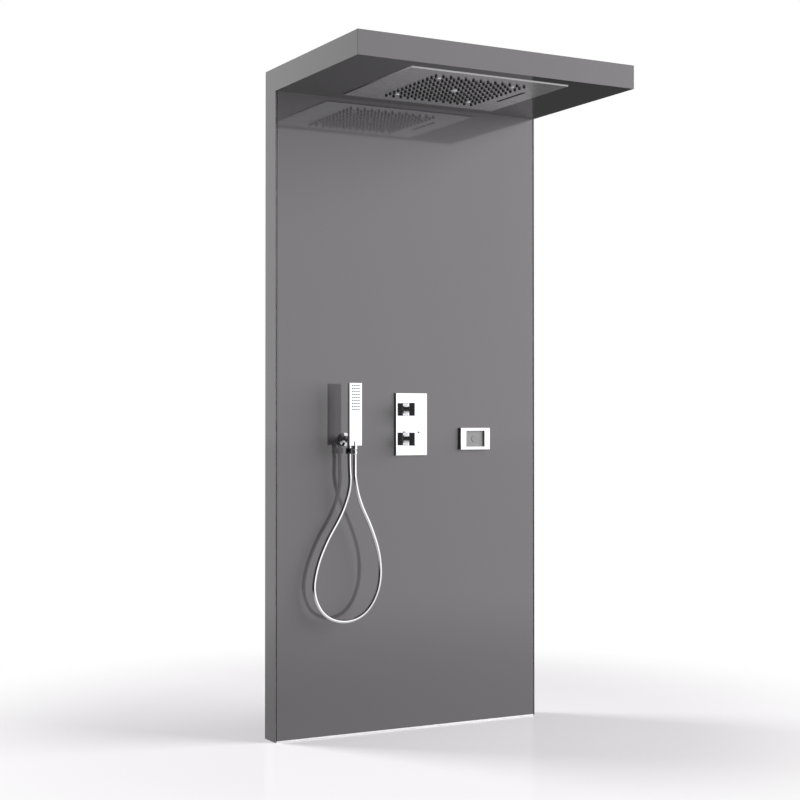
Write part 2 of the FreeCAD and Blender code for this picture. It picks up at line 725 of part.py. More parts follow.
def head_screw(x, y):
    """A countersunk screw, its cap flush with the face of the head plate."""
    cap_z = HEAD_FACE_Z + HEAD_SCREW_CAP_DEPTH
    profile = ((0, HEAD_FACE_Z), (HEAD_SCREW_CAP, HEAD_FACE_Z), (HEAD_SCREW_RADIUS, cap_z),
               (HEAD_SCREW_RADIUS, HEAD_FACE_Z + HEAD_SCREW_LENGTH), (0, HEAD_FACE_Z + HEAD_SCREW_LENGTH))
    return turned(profile, x, y)


def head_plate():
    sheet = block(around(0, HEAD_WIDTH / 2), around(HEAD_Y, HEAD_LENGTH / 2), (HEAD_FACE_Z, CLEAR_HEIGHT))
    rim = [edge for edge in sheet.Edges if edge.BoundBox.ZMax < HEAD_FACE_Z + HEAD_EDGE]
    sheet = sheet.makeChamfer(HEAD_EDGE, rim)
    span = (HEAD_FACE_Z - PAST, CLEAR_HEIGHT + PAST)
    cutters = [rod(NOZZLE_RADIUS + NOZZLE_CLEARANCE, point(x, y, span[0]), point(x, y, span[1]))
               for x, y in nozzle_places()]
    for x, y, radius in light_places():
        cutters.append(rod(radius + LIGHT_CLEARANCE, point(x, y, span[0]), point(x, y, span[1])))
    for x, y in head_screw_places():
        cutters.append(head_screw(x, y))
    cutters.append(block(around(SLOT_X, SLOT_WIDTH / 2), around(HEAD_Y, SLOT_LENGTH / 2), span))
    return sheet.cut(Part.makeCompound(cutters))


def nozzle_mat():
    sheet = block(around(0, MAT_HALF), around(HEAD_Y, MAT_HALF), (CLEAR_HEIGHT, CLEAR_HEIGHT + MAT_SHEET))
    holes = []
    nozzles = []
    for x, y in nozzle_places():
        tip = point(x, y, HEAD_FACE_Z - NOZZLE_TIP)
        top = point(x, y, CLEAR_HEIGHT + MAT_SHEET)
        holes.append(rod(NOZZLE_RADIUS, point(x, y, CLEAR_HEIGHT - PAST), top + point(0, 0, PAST)))
        nozzles.append(ring(NOZZLE_RADIUS, NOZZLE_BORE, tip, top))
    for x, y, radius in light_places():
        holes.append(rod(radius + LIGHT_CLEARANCE, point(x, y, CLEAR_HEIGHT - PAST),
                         point(x, y, CLEAR_HEIGHT + MAT_SHEET + PAST)))
    return sheet.cut(Part.makeCompound(holes)).multiFuse(nozzles).removeSplitter()


def rain_chamber():
    foot_z = CLEAR_HEIGHT + MAT_SHEET
    cover = block(around(0, MAT_HALF), around(HEAD_Y, MAT_HALF), (foot_z, CHAMBER_TOP_Z))
    inside = MAT_HALF - CHAMBER_WALL
    room = block(around(0, inside), around(HEAD_Y, inside), (foot_z - PAST, CHAMBER_TOP_Z - CHAMBER_WALL))
    cover = cover.cut(room)
    for x, y, radius in light_places():
        well = radius + LIGHT_CLEARANCE
        cover = cover.fuse(rod(well + LIGHT_WELL_WALL, point(x, y, foot_z), point(x, y, CHAMBER_TOP_Z)))
        cover = cover.cut(rod(well, point(x, y, foot_z - PAST), point(x, y, CHAMBER_TOP_Z + PAST)))
    inlet = rod(WATERWAY_RADIUS, point(0, ELBOW_Y, foot_z), point(0, ELBOW_Y, CHAMBER_TOP_Z + PAST))
    return cover.cut(inlet)


def waterfall_chamber():
    top_z = CLEAR_HEIGHT + FALL_HEIGHT
    cover = block(around(SLOT_X, FALL_WIDTH / 2), around(HEAD_Y, FALL_HALF_Y + FALL_WALL),
                  (CLEAR_HEIGHT, top_z))
    room = block(around(SLOT_X, FALL_WIDTH / 2 - FALL_WALL), around(HEAD_Y, FALL_HALF_Y),
                 (CLEAR_HEIGHT - PAST, top_z - FALL_WALL))
    back_y = HEAD_Y + FALL_HALF_Y + FALL_WALL
    spigot_end = point(FALL_PIPE_X, back_y + SPIGOT_LENGTH, FALL_PIPE_Z)
    spigot = rod(SPIGOT_RADIUS, point(FALL_PIPE_X, back_y, FALL_PIPE_Z), spigot_end)
    waterway = rod(WATERWAY_RADIUS, point(FALL_PIPE_X, back_y - FALL_WALL - PAST, FALL_PIPE_Z), spigot_end)
    socket = rod(PIPE_RADIUS + PIPE_CLEARANCE, spigot_end - point(0, SOCKET_DEPTH, 0),
                 spigot_end + point(0, PAST, 0))
    return cover.cut(room).fuse(spigot).cut([waterway, socket])


def head_box():
    roof_z = CLEAR_HEIGHT + HEAD_BOX_HEIGHT
    shell = block(around(0, BOX_HALF_X), around(HEAD_Y, BOX_HALF_Y), (CLEAR_HEIGHT, roof_z))
    flange = block(around(0, BOX_HALF_X + HEAD_BOX_FLANGE), around(HEAD_Y, BOX_HALF_Y + HEAD_BOX_FLANGE),
                   (CANOPY_FLOOR_Z, CANOPY_FLOOR_Z + HEAD_BOX_SHEET))
    room = block(around(0, BOX_HALF_X - HEAD_BOX_SHEET), around(HEAD_Y, BOX_HALF_Y - HEAD_BOX_SHEET),
                 (CLEAR_HEIGHT - PAST, roof_z - HEAD_BOX_SHEET))
    shell = shell.fuse(flange).cut(room)
    bosses = [rod(HEAD_BOSS_RADIUS, point(x, y, CLEAR_HEIGHT), point(x, y, roof_z))
              for x, y in head_screw_places()]
    shell = shell.fuse(bosses)
    wall_y = HEAD_Y + BOX_HALF_Y
    entries = ((0, RAIN_PIPE_Z, PIPE_RADIUS + PIPE_HOLE_CLEARANCE),
               (FALL_PIPE_X, FALL_PIPE_Z, PIPE_RADIUS + PIPE_HOLE_CLEARANCE),
               (KEYPAD_X, CABLE_Z, CABLE_RADIUS + CABLE_HOLE_CLEARANCE))
    cutters = [rod(radius, point(x, wall_y - HEAD_BOX_SHEET - PAST, z), point(x, wall_y + PAST, z))
               for x, z, radius in entries]
    cutters += [head_screw(x, y) for x, y in head_screw_places()]
    return shell.cut(cutters)


def head_screws():
    return Part.makeCompound([head_screw(x, y) for x, y in head_screw_places()])


def light_lens(x, y, radius):
    """A clear rod with a domed face that stands a little below the head plate."""
    bend = (radius ** 2 + LENS_DOME ** 2) / (2 * LENS_DOME)
    rim = point(x, y, HEAD_FACE_Z - LENS_PROUD)
    foot = rim - point(0, 0, LENS_DOME)
    top = point(x, y, HEAD_FACE_Z + LENS_HEIGHT)
    body = rod(radius, foot, top)
    ball = Part.makeSphere(bend, foot + point(0, 0, bend))
    ball = ball.fuse(rod(radius, rim, top))
    return body.common(ball).removeSplitter()


def light_lenses():
    return Part.makeCompound([light_lens(*place) for place in light_places()])


def light_modules():
    foot_z = HEAD_FACE_Z + LENS_HEIGHT
    modules = []
    for x, y, radius in light_places():
        top_z = CHAMBER_TOP_Z + LIGHT_WELL_WALL
        if radius == CENTRE_LIGHT_RADIUS:
            top_z = CHAMBER_TOP_Z + MODULE_RISE
        modules.append(rod(radius, point(x, y, foot_z), point(x, y, top_z)))
    return Part.makeCompound(modules)


def rain_elbow():
    half = ELBOW_SIDE / 2
    body = block(around(0, half), around(ELBOW_Y, half), (CHAMBER_TOP_Z, CHAMBER_TOP_Z + ELBOW_SIDE))
    centre = point(0, ELBOW_Y, RAIN_PIPE_Z)
    mouth_y = ELBOW_Y + half
    down = rod(WATERWAY_RADIUS, point(0, ELBOW_Y, CHAMBER_TOP_Z - PAST), centre)
    level = rod(WATERWAY_RADIUS, centre, point(0, mouth_y, RAIN_PIPE_Z))
    socket = rod(PIPE_RADIUS + PIPE_CLEARANCE, point(0, mouth_y - SOCKET_DEPTH, RAIN_PIPE_Z),
                 point(0, mouth_y + PAST, RAIN_PIPE_Z))
    return body.cut([down, level, socket])


# Mixer


def knob_heights():
    return (SET_HEIGHT, FLOW_Z)


def mixer_plate():
    plate = block(around(0, MIXER_WIDTH / 2), (MIXER_FACE_Y, GASKET_Y), around(MIXER_Z, MIXER_HEIGHT / 2))
    rim = [edge for edge in plate.Edges if edge.BoundBox.YMin < GASKET_Y - MIXER_EDGE]
    plate = plate.makeFillet(MIXER_EDGE, rim)
    return plate.cut([rod(SPINDLE_RADIUS + SPINDLE_HOLE_CLEARANCE, point(0, MIXER_FACE_Y - PAST, z),
                          point(0, GASKET_Y + PAST, z)) for z in knob_heights()])


def mixer_gasket():
    seal = block(around(0, MIXER_WIDTH / 2 - GASKET_INSET), (GASKET_Y, FRONT_Y),
                 around(MIXER_Z, MIXER_HEIGHT / 2 - GASKET_INSET))
    return seal.cut(block(around(0, BOX_HALF_W - BOX_WALL), (GASKET_Y - PAST, FRONT_Y + PAST),
                          around(MIXER_Z, BOX_HALF_H - BOX_WALL)))


def mixer_ports():
    """The pipe ports as (mouth on the body's side, direction out of the body)."""
    left = point(-1, 0, 0)
    right = point(1, 0, 0)
    up = point(0, 0, 1)
    return {
        "rain": (point(0, PIPE_Y, BODY_TOP_Z), up),
        "waterfall": (point(BODY_HALF_WIDTH, PIPE_Y, FLOW_Z), right),
        "handset": (point(-BODY_HALF_WIDTH, PIPE_Y, SET_HEIGHT), left),
        "hot": (point(-BODY_HALF_WIDTH, PIPE_Y, INLET_Z), left),
        "cold": (point(BODY_HALF_WIDTH, PIPE_Y, INLET_Z), right),
    }


def pipe_seat(port):
    """Where the end of a pipe stands inside a port of the mixer."""
    mouth, out = mixer_ports()[port]
    return mouth + out * (PORT_LENGTH - SOCKET_DEPTH + SOCKET_STOP)


def mixer_box():
    box = tray(around(0, BOX_HALF_W), around(MIXER_Z, BOX_HALF_H), INNER_FRONT_Y, INNER_BACK_Y,
               BOX_WALL, BOX_RIM, RIM_SHEET)
    cutters = []
    for mouth, out in mixer_ports().values():
        far = mouth + out * (MIXER_WIDTH + MIXER_HEIGHT)
        cutters.append(rod(PIPE_RADIUS + PIPE_HOLE_CLEARANCE, mouth, far))
    return box.cut(cutters)


def mixer_body():
    body = block((-BODY_HALF_WIDTH, BODY_HALF_WIDTH), (BODY_FRONT_Y, BODY_BACK_Y), (BODY_FOOT_Z, BODY_TOP_Z))
    bores = []
    for z in knob_heights():
        body = body.fuse(rod(BOSS_RADIUS, point(0, BODY_FRONT_Y, z), point(0, BOSS_Y, z)))
        bores.append(rod(CARTRIDGE_RADIUS + CARTRIDGE_CLEARANCE, point(0, BODY_BACK_Y - CARTRIDGE_SEAT, z),
                         point(0, BOSS_Y - PAST, z)))
    for mouth, out in mixer_ports().values():
        end = mouth + out * PORT_LENGTH
        body = body.fuse(rod(PORT_RADIUS, mouth, end))
        bores.append(rod(PIPE_RADIUS + PIPE_CLEARANCE, end - out * SOCKET_DEPTH, end + out * PAST))
        bores.append(rod(WATERWAY_RADIUS, mouth - out * (BODY_HALF_WIDTH - RISER_X), end))
    for x in (-RISER_X, RISER_X):
        bores.append(rod(BRANCH_RADIUS, point(x, PIPE_Y, INLET_Z), point(x, PIPE_Y, SET_HEIGHT)))
    bores.append(rod(BRANCH_RADIUS, point(0, PIPE_Y, SET_HEIGHT), point(0, PIPE_Y, FLOW_Z)))
    return body.cut(bores)


def cartridge(z):
    back = point(0, BODY_BACK_Y - CARTRIDGE_SEAT, z)
    nose = point(0, NOSE_Y, z)
    bore = rod(SPINDLE_RADIUS + SPINDLE_CLEARANCE, nose - point(0, PAST, 0), nose + point(0, SPINDLE_GRIP, 0))
    return rod(CARTRIDGE_RADIUS, back, nose).cut(bore)


def temp_cartridge():
    return cartridge(SET_HEIGHT)


def flow_cartridge():
    return cartridge(FLOW_Z)


def cartridge_nuts():
    nuts = []
    for z in knob_heights():
        start = point(0, BOSS_Y, z)
        end = point(0, BOSS_Y - CARTRIDGE_NUT_LENGTH, z)
        bore = rod(CARTRIDGE_RADIUS + CARTRIDGE_CLEARANCE, start + point(0, PAST, 0), end - point(0, PAST, 0))
        nuts.append(hexagon(CARTRIDGE_NUT_FLATS, start, end).cut(bore))
    return Part.makeCompound(nuts)


def knob_bezels():
    return Part.makeCompound([ring(BEZEL_RADIUS, SPINDLE_RADIUS + SPINDLE_HOLE_CLEARANCE,
                                   point(0, MIXER_FACE_Y, z), point(0, MIXER_FACE_Y - BEZEL_SHEET, z))
                              for z in knob_heights()])


def spindle(z):
    return rod(SPINDLE_RADIUS, point(0, NOSE_Y + SPINDLE_GRIP, z), point(0, NECK_Y - SPINDLE_REACH, z))


def temp_spindle():
    return spindle(SET_HEIGHT)


def flow_spindle():
    return spindle(FLOW_Z)


def knob(z):
    head = block(around(0, KNOB_SIDE / 2), (KNOB_FACE_Y, KNOB_BACK_Y), around(z, KNOB_SIDE / 2))
    head = head.makeFillet(KNOB_EDGE, head.Edges)
    neck = rod(KNOB_NECK_RADIUS, point(0, KNOB_BACK_Y - KNOB_EDGE, z), point(0, NECK_Y, z))
    bore = rod(SPINDLE_RADIUS + SPINDLE_CLEARANCE, point(0, NECK_Y + PAST, z),
               point(0, NECK_Y - SPINDLE_REACH, z))
    return head.fuse(neck).cut(bore)


def flow_knob():
    return knob(FLOW_Z)


def stop_well_floor():
    return point(0, STOP_Y, KNOB_TOP_Z - STOP_WELL)


def temp_knob():
    well = rod(STOP_RADIUS + STOP_CLEARANCE, stop_well_floor(), point(0, STOP_Y, KNOB_TOP_Z + PAST))
    return knob(SET_HEIGHT).cut(well)


def stop_button():
    top_z = KNOB_TOP_Z + STOP_PROUD
    button = rod(STOP_RADIUS, point(0, STOP_Y, KNOB_TOP_Z - STOP_GRIP), point(0, STOP_Y, top_z))
    rim = [edge for edge in button.Edges if edge.BoundBox.ZMin > KNOB_TOP_Z]
    return button.makeFillet(min(KNOB_EDGE, STOP_PROUD / 2), rim)


def stop_spring():
    return coil_spring(STOP_RADIUS - SPRING_INSET - SPRING_WIRE, stop_well_floor(),
                       point(0, STOP_Y, KNOB_TOP_Z - STOP_GRIP))


# Water pipes


def stop_valves():
    valves = []
    for side, port in ((-1, "hot"), (1, "cold")):
        x = side * VALVE_X
        neck_y = INNER_BACK_Y - VALVE_COLLAR_RISE
        collar = rod(VALVE_COLLAR_RADIUS, point(x, 0, INLET_Z), point(x, neck_y - PAST, INLET_Z))
        body = block(around(x, VALVE_HALF), (neck_y, -VALVE_REACH), around(INLET_Z, VALVE_HALF))
        inlet = rod(INLET_BORE, point(x, PAST, INLET_Z), point(x, -INLET_DEPTH, INLET_Z))
        waterway = rod(WATERWAY_RADIUS, point(x, 0, INLET_Z), point(x, PIPE_Y, INLET_Z))
        inward = mixer_ports()[port][1] * -1
        middle = point(x, PIPE_Y, INLET_Z)
        mouth = middle + inward * VALVE_HALF
        branch = rod(BRANCH_RADIUS, middle, mouth)
        socket = rod(PIPE_RADIUS + PIPE_CLEARANCE, mouth - inward * SOCKET_DEPTH, mouth + inward * PAST)
        valves.append(body.fuse(collar).cut([inlet, waterway, branch, socket]))
    return Part.makeCompound(valves)


def inlet_pipes():
    pipes = []
    for port in ("hot", "cold"):
        start = pipe_seat(port)
        out = mixer_ports()[port][1]
        end = out * (VALVE_X - VALVE_HALF + SOCKET_DEPTH - SOCKET_STOP) + point(0, PIPE_Y, INLET_Z)
        pipes.append(ring(PIPE_RADIUS, PIPE_RADIUS - PIPE_WALL, start, end))
    return Part.makeCompound(pipes)


def rain_pipe():
    end_y = ELBOW_Y + ELBOW_SIDE / 2 - SOCKET_DEPTH + SOCKET_STOP
    route = (pipe_seat("rain"), point(0, PIPE_Y, RAIN_PIPE_Z), point(0, end_y, RAIN_PIPE_Z))
    return bent_pipe(route, PIPE_BEND, PIPE_RADIUS, PIPE_RADIUS - PIPE_WALL)


def waterfall_pipe():
    end_y = HEAD_Y + FALL_HALF_Y + FALL_WALL + SPIGOT_LENGTH - SOCKET_DEPTH + SOCKET_STOP
    route = (pipe_seat("waterfall"), point(FALL_PIPE_X, PIPE_Y, FLOW_Z),
             point(FALL_PIPE_X, PIPE_Y, FALL_PIPE_Z), point(FALL_PIPE_X, end_y, FALL_PIPE_Z))
    return bent_pipe(route, PIPE_BEND, PIPE_RADIUS, PIPE_RADIUS - PIPE_WALL)


def handset_pipe():
    end_x = HAND_X + OUTLET_TAIL_RADIUS - SOCKET_DEPTH + SOCKET_STOP
    return ring(PIPE_RADIUS, PIPE_RADIUS - PIPE_WALL, pipe_seat("handset"), point(end_x, PIPE_Y, SET_HEIGHT))


# Hand shower


def outlet_body():
    rim_y = FRONT_Y - OUTLET_ROSE_RIM
    profile = ((0, FRONT_Y), (OUTLET_ROSE_RADIUS, FRONT_Y), (OUTLET_ROSE_RADIUS, rim_y),
               (OUTLET_ARM_RADIUS, rim_y - OUTLET_ROSE_RISE), (OUTLET_ARM_RADIUS, OUTLET_FACE_Y + OUTLET_EDGE),
               (OUTLET_ARM_RADIUS - OUTLET_EDGE, OUTLET_FACE_Y), (0, OUTLET_FACE_Y))
    body = turned_across(profile, HAND_X, SET_HEIGHT)
    tail_end = point(HAND_X, PIPE_Y + OUTLET_TAIL_RADIUS, SET_HEIGHT)
    tail = rod(OUTLET_TAIL_RADIUS, point(HAND_X, FRONT_Y, SET_HEIGHT), tail_end)
    neck_foot = point(HAND_X, OUTLET_HOSE_Y, OUTLET_FOOT_Z - OUTLET_NECK)
    neck = rod(OUTLET_NECK_RADIUS, point(HAND_X, OUTLET_HOSE_Y, SET_HEIGHT), neck_foot)
    back = point(HAND_X, PIPE_Y, SET_HEIGHT)
    side = point(HAND_X + OUTLET_TAIL_RADIUS, PIPE_Y, SET_HEIGHT)
    bores = [rod(WATERWAY_RADIUS, back, point(HAND_X, OUTLET_HOSE_Y, SET_HEIGHT)),
             rod(HOSE_BORE, point(HAND_X, OUTLET_HOSE_Y, SET_HEIGHT), neck_foot - point(0, 0, PAST)),
             rod(WATERWAY_RADIUS, back, side),
             rod(PIPE_RADIUS + PIPE_CLEARANCE, side - point(SOCKET_DEPTH, 0, 0), side + point(PAST, 0, 0))]
    return body.fuse([tail, neck]).cut(bores)


def holder_hook():
    neck_y = OUTLET_FACE_Y - HOOK_STEM_DEPTH
    tall = around(SET_HEIGHT, HOOK_HEIGHT / 2)
    stem = block(around(HAND_X, HOOK_STEM_WIDTH / 2), (OUTLET_FACE_Y, neck_y), tall)
    head = block(around(HAND_X, HOOK_HEAD_WIDTH / 2), (neck_y, HOOK_FACE_Y), tall)
    return stem.fuse(head)


def wall_hose_nut():
    shoulder_z = OUTLET_FOOT_Z - OUTLET_NECK
    top_bore = OUTLET_NECK_RADIUS + NUT_CLEARANCE
    corner = WALL_NUT_FLATS / math.sqrt(3)
    edge = corner - WALL_NUT_FLATS / 2
    profile = ((top_bore, WALL_NUT_TOP_Z), (corner - edge, WALL_NUT_TOP_Z), (corner, WALL_NUT_TOP_Z - edge),
               (corner, WALL_NUT_FOOT_Z + edge), (corner - edge, WALL_NUT_FOOT_Z), (HOSE_BORE, WALL_NUT_FOOT_Z),
               (HOSE_BORE, shoulder_z), (top_bore, shoulder_z))
    bar = hexagon(WALL_NUT_FLATS, point(HAND_X, OUTLET_HOSE_Y, WALL_NUT_FOOT_Z),
                  point(HAND_X, OUTLET_HOSE_Y, WALL_NUT_TOP_Z))
    return bar.common(turned(profile, HAND_X, OUTLET_HOSE_Y))


def hose_path():
    """The hose's middle line, with each arc as large as its two runs allow."""
    points = [point(*place) for place in HOSE_POINTS]
    radii = []
    for before, corner, after in zip(points, points[1:], points[2:]):
        turn = (corner - before).getAngle(after - corner)
        shorter = min((corner - before).Length, (after - corner).Length)
        radii.append(ARC_SHARE * shorter / math.tan(turn / 2))
    print("hose arc radii", [round(radius) for radius in radii])
    return rounded_path(points, radii)


def shower_hose():
    path = hose_path()
    tube = swept(path, HOSE_RADIUS).cut(swept(path, HOSE_BORE))
    expected = math.pi * (HOSE_RADIUS ** 2 - HOSE_BORE ** 2) * path.Length
    print("hose length", round(path.Length, 1))
    print("hose volume over section times length", round(tube.Volume / expected, 4))
    return tube


def handset_body():
    slab = block(around(HAND_X, HANDSET_WIDTH / 2), (SKIN_Y, HANDSET_BACK_Y), (HANDSET_FOOT_Z, HANDSET_TOP_Z))
    back_rim = [edge for edge in slab.Edges if edge.BoundBox.YMin > HANDSET_BACK_Y - HANDSET_EDGE]
    slab = slab.makeFillet(HANDSET_EDGE, back_rim)
    pocket_half = HOOK_HEAD_WIDTH / 2 + HOOK_CLEARANCE
    hanger_foot = HANDSET_FOOT_Z + HANGER_FOOT
    hanger_top = HOOK_TOP_Z + HANGER_CROWN
    hanger = block(around(HAND_X, pocket_half + HANGER_WALL), (HANDSET_BACK_Y, HANGER_Y),
                   (hanger_foot, hanger_top))
    uprights = edges_along(hanger, point(0, 0, 1), lambda middle: middle.y > HANGER_Y - HANDSET_EDGE)
    hanger = hanger.makeFillet(min(HANDSET_EDGE, HANGER_WALL / 2), uprights)
    boss_top = HANDSET_FOOT_Z + HANDSET_BOSS_RISE
    spigot_foot = point(HAND_X, HANDSET_Y, HANDSET_BOSS_FOOT_Z - HANDSET_SPIGOT)
    boss_foot = point(HAND_X, HANDSET_Y, HANDSET_BOSS_FOOT_Z)
    boss = rod(HANDSET_BOSS_RADIUS, boss_foot, point(HAND_X, HANDSET_Y, boss_top))
    spigot = rod(HANDSET_SPIGOT_RADIUS, spigot_foot, boss_foot)
    neck_y = OUTLET_FACE_Y - HOOK_STEM_DEPTH + HOOK_CLEARANCE
    pocket_tall = (hanger_foot - PAST, HOOK_TOP_Z + HOOK_CLEARANCE / 2)
    pocket = block(around(HAND_X, pocket_half), (neck_y, HOOK_FACE_Y - HOOK_CLEARANCE), pocket_tall)
    mouth = block(around(HAND_X, HOOK_STEM_WIDTH / 2 + HOOK_CLEARANCE), (HANGER_Y + PAST, neck_y),
                  pocket_tall)
    cavity_half = SPRAY_PITCH_X * (SPRAY_COLUMNS - 1) / 2 + HANDSET_CAVITY_MARGIN
    cavity = block(around(HAND_X, cavity_half), (SKIN_Y - PAST, SKIN_Y + HANDSET_CAVITY),
                   (SPRAY_FOOT_Z - HANDSET_CAVITY_MARGIN, SPRAY_TOP_Z + HANDSET_CAVITY_MARGIN))
    bore = rod(HANDSET_BORE, spigot_foot - point(0, 0, PAST), point(HAND_X, HANDSET_Y, SPRAY_FOOT_Z))
    return slab.fuse([hanger, boss, spigot]).cut([pocket, mouth, cavity, bore])


def spray_places():
    """The handset's nozzles as (x, z)."""
    left = HAND_X - SPRAY_PITCH_X * (SPRAY_COLUMNS - 1) / 2
    return [(left + column * SPRAY_PITCH_X, SPRAY_TOP_Z - row * SPRAY_PITCH_Z)
            for column in range(SPRAY_COLUMNS) for row in range(SPRAY_ROWS)]


def handset_face():
    face = block(around(HAND_X, HANDSET_WIDTH / 2), (HANDSET_FACE_Y, SKIN_Y), (HANDSET_FOOT_Z, HANDSET_TOP_Z))
    rim = [edge for edge in face.Edges if edge.BoundBox.YMax < HANDSET_FACE_Y + HANDSET_FACE / 4]
    face = face.makeFillet(HANDSET_FACE / 2, rim)
    cutters = [rod(SPRAY_RADIUS + SPRAY_CLEARANCE, point(x, HANDSET_FACE_Y - PAST, z),
                   point(x, SKIN_Y + PAST, z)) for x, z in spray_places()]
    boss_top = HANDSET_FOOT_Z + HANDSET_BOSS_RISE + SPRAY_CLEARANCE
    cutters.append(rod(HANDSET_BOSS_RADIUS + SPRAY_CLEARANCE, point(HAND_X, HANDSET_Y, HANDSET_FOOT_Z - PAST),
                       point(HAND_X, HANDSET_Y, boss_top)))
    return face.cut(cutters)


def handset_nozzles():
    half = SPRAY_PITCH_X * (SPRAY_COLUMNS - 1) / 2 + SPRAY_MARGIN
    sheet = block(around(HAND_X, half), (SKIN_Y, SKIN_Y + SPRAY_SHEET),
                  (SPRAY_FOOT_Z - SPRAY_MARGIN, SPRAY_TOP_Z + SPRAY_MARGIN))
    tips = []
    bores = []
    for x, z in spray_places():
        tip = point(x, HANDSET_FACE_Y - SPRAY_TIP, z)
        root = point(x, SKIN_Y + SPRAY_SHEET, z)
        tips.append(rod(SPRAY_RADIUS, tip, root))
        bores.append(rod(SPRAY_BORE, tip - point(0, PAST, 0), root + point(0, PAST, 0)))
    return sheet.multiFuse(tips).cut(Part.makeCompound(bores))


def handset_hose_nut():
    top = HANDSET_BOSS_FOOT_Z
    seat = top - HANDSET_SPIGOT
    bore = HANDSET_SPIGOT_RADIUS + NUT_CLEARANCE
    collar_z = top - CUFF_COLLAR
    waist_z = collar_z - CUFF_SHOULDER
    flare_z = waist_z - CUFF_FLARE
    band_z = flare_z - CUFF_BAND
    foot = band_z - CUFF_TAPER
    profile = ((bore, top), (HANDSET_BOSS_RADIUS, top), (HANDSET_BOSS_RADIUS, collar_z),
               (CUFF_WAIST_RADIUS, waist_z), (CUFF_BAND_RADIUS, flare_z), (CUFF_BAND_RADIUS, band_z),
               (CUFF_TIP_RADIUS, foot), (HOSE_BORE, foot), (HOSE_BORE, seat), (bore, seat))
    return turned(profile, HAND_X, HANDSET_Y)


# Keypad and wiring


def keypad_frame():
    frame = block(around(KEYPAD_X, KEYPAD_WIDTH / 2), (KEYPAD_FACE_Y, FRONT_Y),
                  around(SET_HEIGHT, KEYPAD_HEIGHT / 2))
    rim = [edge for edge in frame.Edges if edge.BoundBox.YMin < FRONT_Y - KEYPAD_EDGE]
    frame = frame.makeFillet(KEYPAD_EDGE, rim)
    window = block(around(KEYPAD_X, WINDOW_WIDTH / 2), (KEYPAD_FACE_Y - PAST, PAD_FACE_Y),
                   around(SET_HEIGHT, WINDOW_HEIGHT / 2))
    lap = PAD_LAP + PAD_CLEARANCE
    rebate = block(around(KEYPAD_X, WINDOW_WIDTH / 2 + lap), (PAD_FACE_Y, FRONT_Y + PAST),
                   around(SET_HEIGHT, WINDOW_HEIGHT / 2 + lap))
    return frame.cut([window, rebate])


def keypad_pad():
    pad = block(around(KEYPAD_X, WINDOW_WIDTH / 2 + PAD_LAP), (PAD_FACE_Y, PAD_BACK_Y),
                around(SET_HEIGHT, WINDOW_HEIGHT / 2 + PAD_LAP))
    hole = rod(BUTTON_RADIUS + BUTTON_CLEARANCE, point(KEYPAD_X, PAD_FACE_Y - PAST, SET_HEIGHT),
               point(KEYPAD_X, PAD_BACK_Y + PAST, SET_HEIGHT))
    return pad.cut(hole)


def light_button():
    front = point(KEYPAD_X, PAD_FACE_Y - BUTTON_PROUD, SET_HEIGHT)
    back = point(KEYPAD_X, BUTTON_BACK_Y, SET_HEIGHT)
    cap = rod(BUTTON_RADIUS, front, back)
    rim = [edge for edge in cap.Edges if edge.BoundBox.YMax < PAD_FACE_Y]
    cap = cap.makeFillet(BUTTON_PROUD / 3, rim)
    flange = rod(BUTTON_RADIUS + BUTTON_FLANGE, point(KEYPAD_X, PAD_BACK_Y, SET_HEIGHT), back)
    stem_end_y = BOARD_Y - SWITCH_HEIGHT - BUTTON_TRAVEL - BUTTON_CLEARANCE
    stem = rod(BUTTON_STEM_RADIUS, back, point(KEYPAD_X, stem_end_y, SET_HEIGHT))
    return cap.fuse([flange, stem])


def button_spring():
    return coil_spring(BUTTON_RADIUS - SPRING_INSET - SPRING_WIRE, point(KEYPAD_X, BOARD_Y, SET_HEIGHT),
                       point(KEYPAD_X, BUTTON_BACK_Y, SET_HEIGHT))


def board_pillars():
    """The four corners of the circuit board where pillars in the box carry it, as (x, z)."""
    x_reach = KEYPAD_BOX_HALF_W - KEYPAD_BOX_WALL - BOARD_PILLAR
    z_reach = KEYPAD_BOX_HALF_H - KEYPAD_BOX_WALL - BOARD_PILLAR
    return [(KEYPAD_X + x_side * x_reach, SET_HEIGHT + z_side * z_reach)
            for x_side in (-1, 1) for z_side in (-1, 1)]


def keypad_box():
    box = tray(around(KEYPAD_X, KEYPAD_BOX_HALF_W), around(SET_HEIGHT, KEYPAD_BOX_HALF_H), INNER_FRONT_Y,
               KEYPAD_BOX_BACK_Y, KEYPAD_BOX_WALL, KEYPAD_BOX_RIM, KEYPAD_BOX_WALL)
    pillars = [rod(BOARD_PILLAR, point(x, KEYPAD_BOX_BACK_Y - KEYPAD_BOX_WALL, z),
                   point(x, BOARD_Y + BOARD_SHEET, z)) for x, z in board_pillars()]
    top_z = SET_HEIGHT + KEYPAD_BOX_HALF_H
    hole = rod(CABLE_RADIUS + CABLE_HOLE_CLEARANCE, point(KEYPAD_X, CABLE_Y, top_z - KEYPAD_BOX_WALL - PAST),
               point(KEYPAD_X, CABLE_Y, top_z + PAST))
    return box.fuse(pillars).cut(hole)


def keypad_board():
    x_half = KEYPAD_BOX_HALF_W - KEYPAD_BOX_WALL - BOARD_GAP
    z_half = KEYPAD_BOX_HALF_H - KEYPAD_BOX_WALL - BOARD_GAP
    board = block(around(KEYPAD_X, x_half), (BOARD_Y, BOARD_Y + BOARD_SHEET), around(SET_HEIGHT, z_half))
    switch = rod(SWITCH_RADIUS, point(KEYPAD_X, BOARD_Y, SET_HEIGHT),
                 point(KEYPAD_X, BOARD_Y - SWITCH_HEIGHT, SET_HEIGHT))
    return board.fuse(switch)


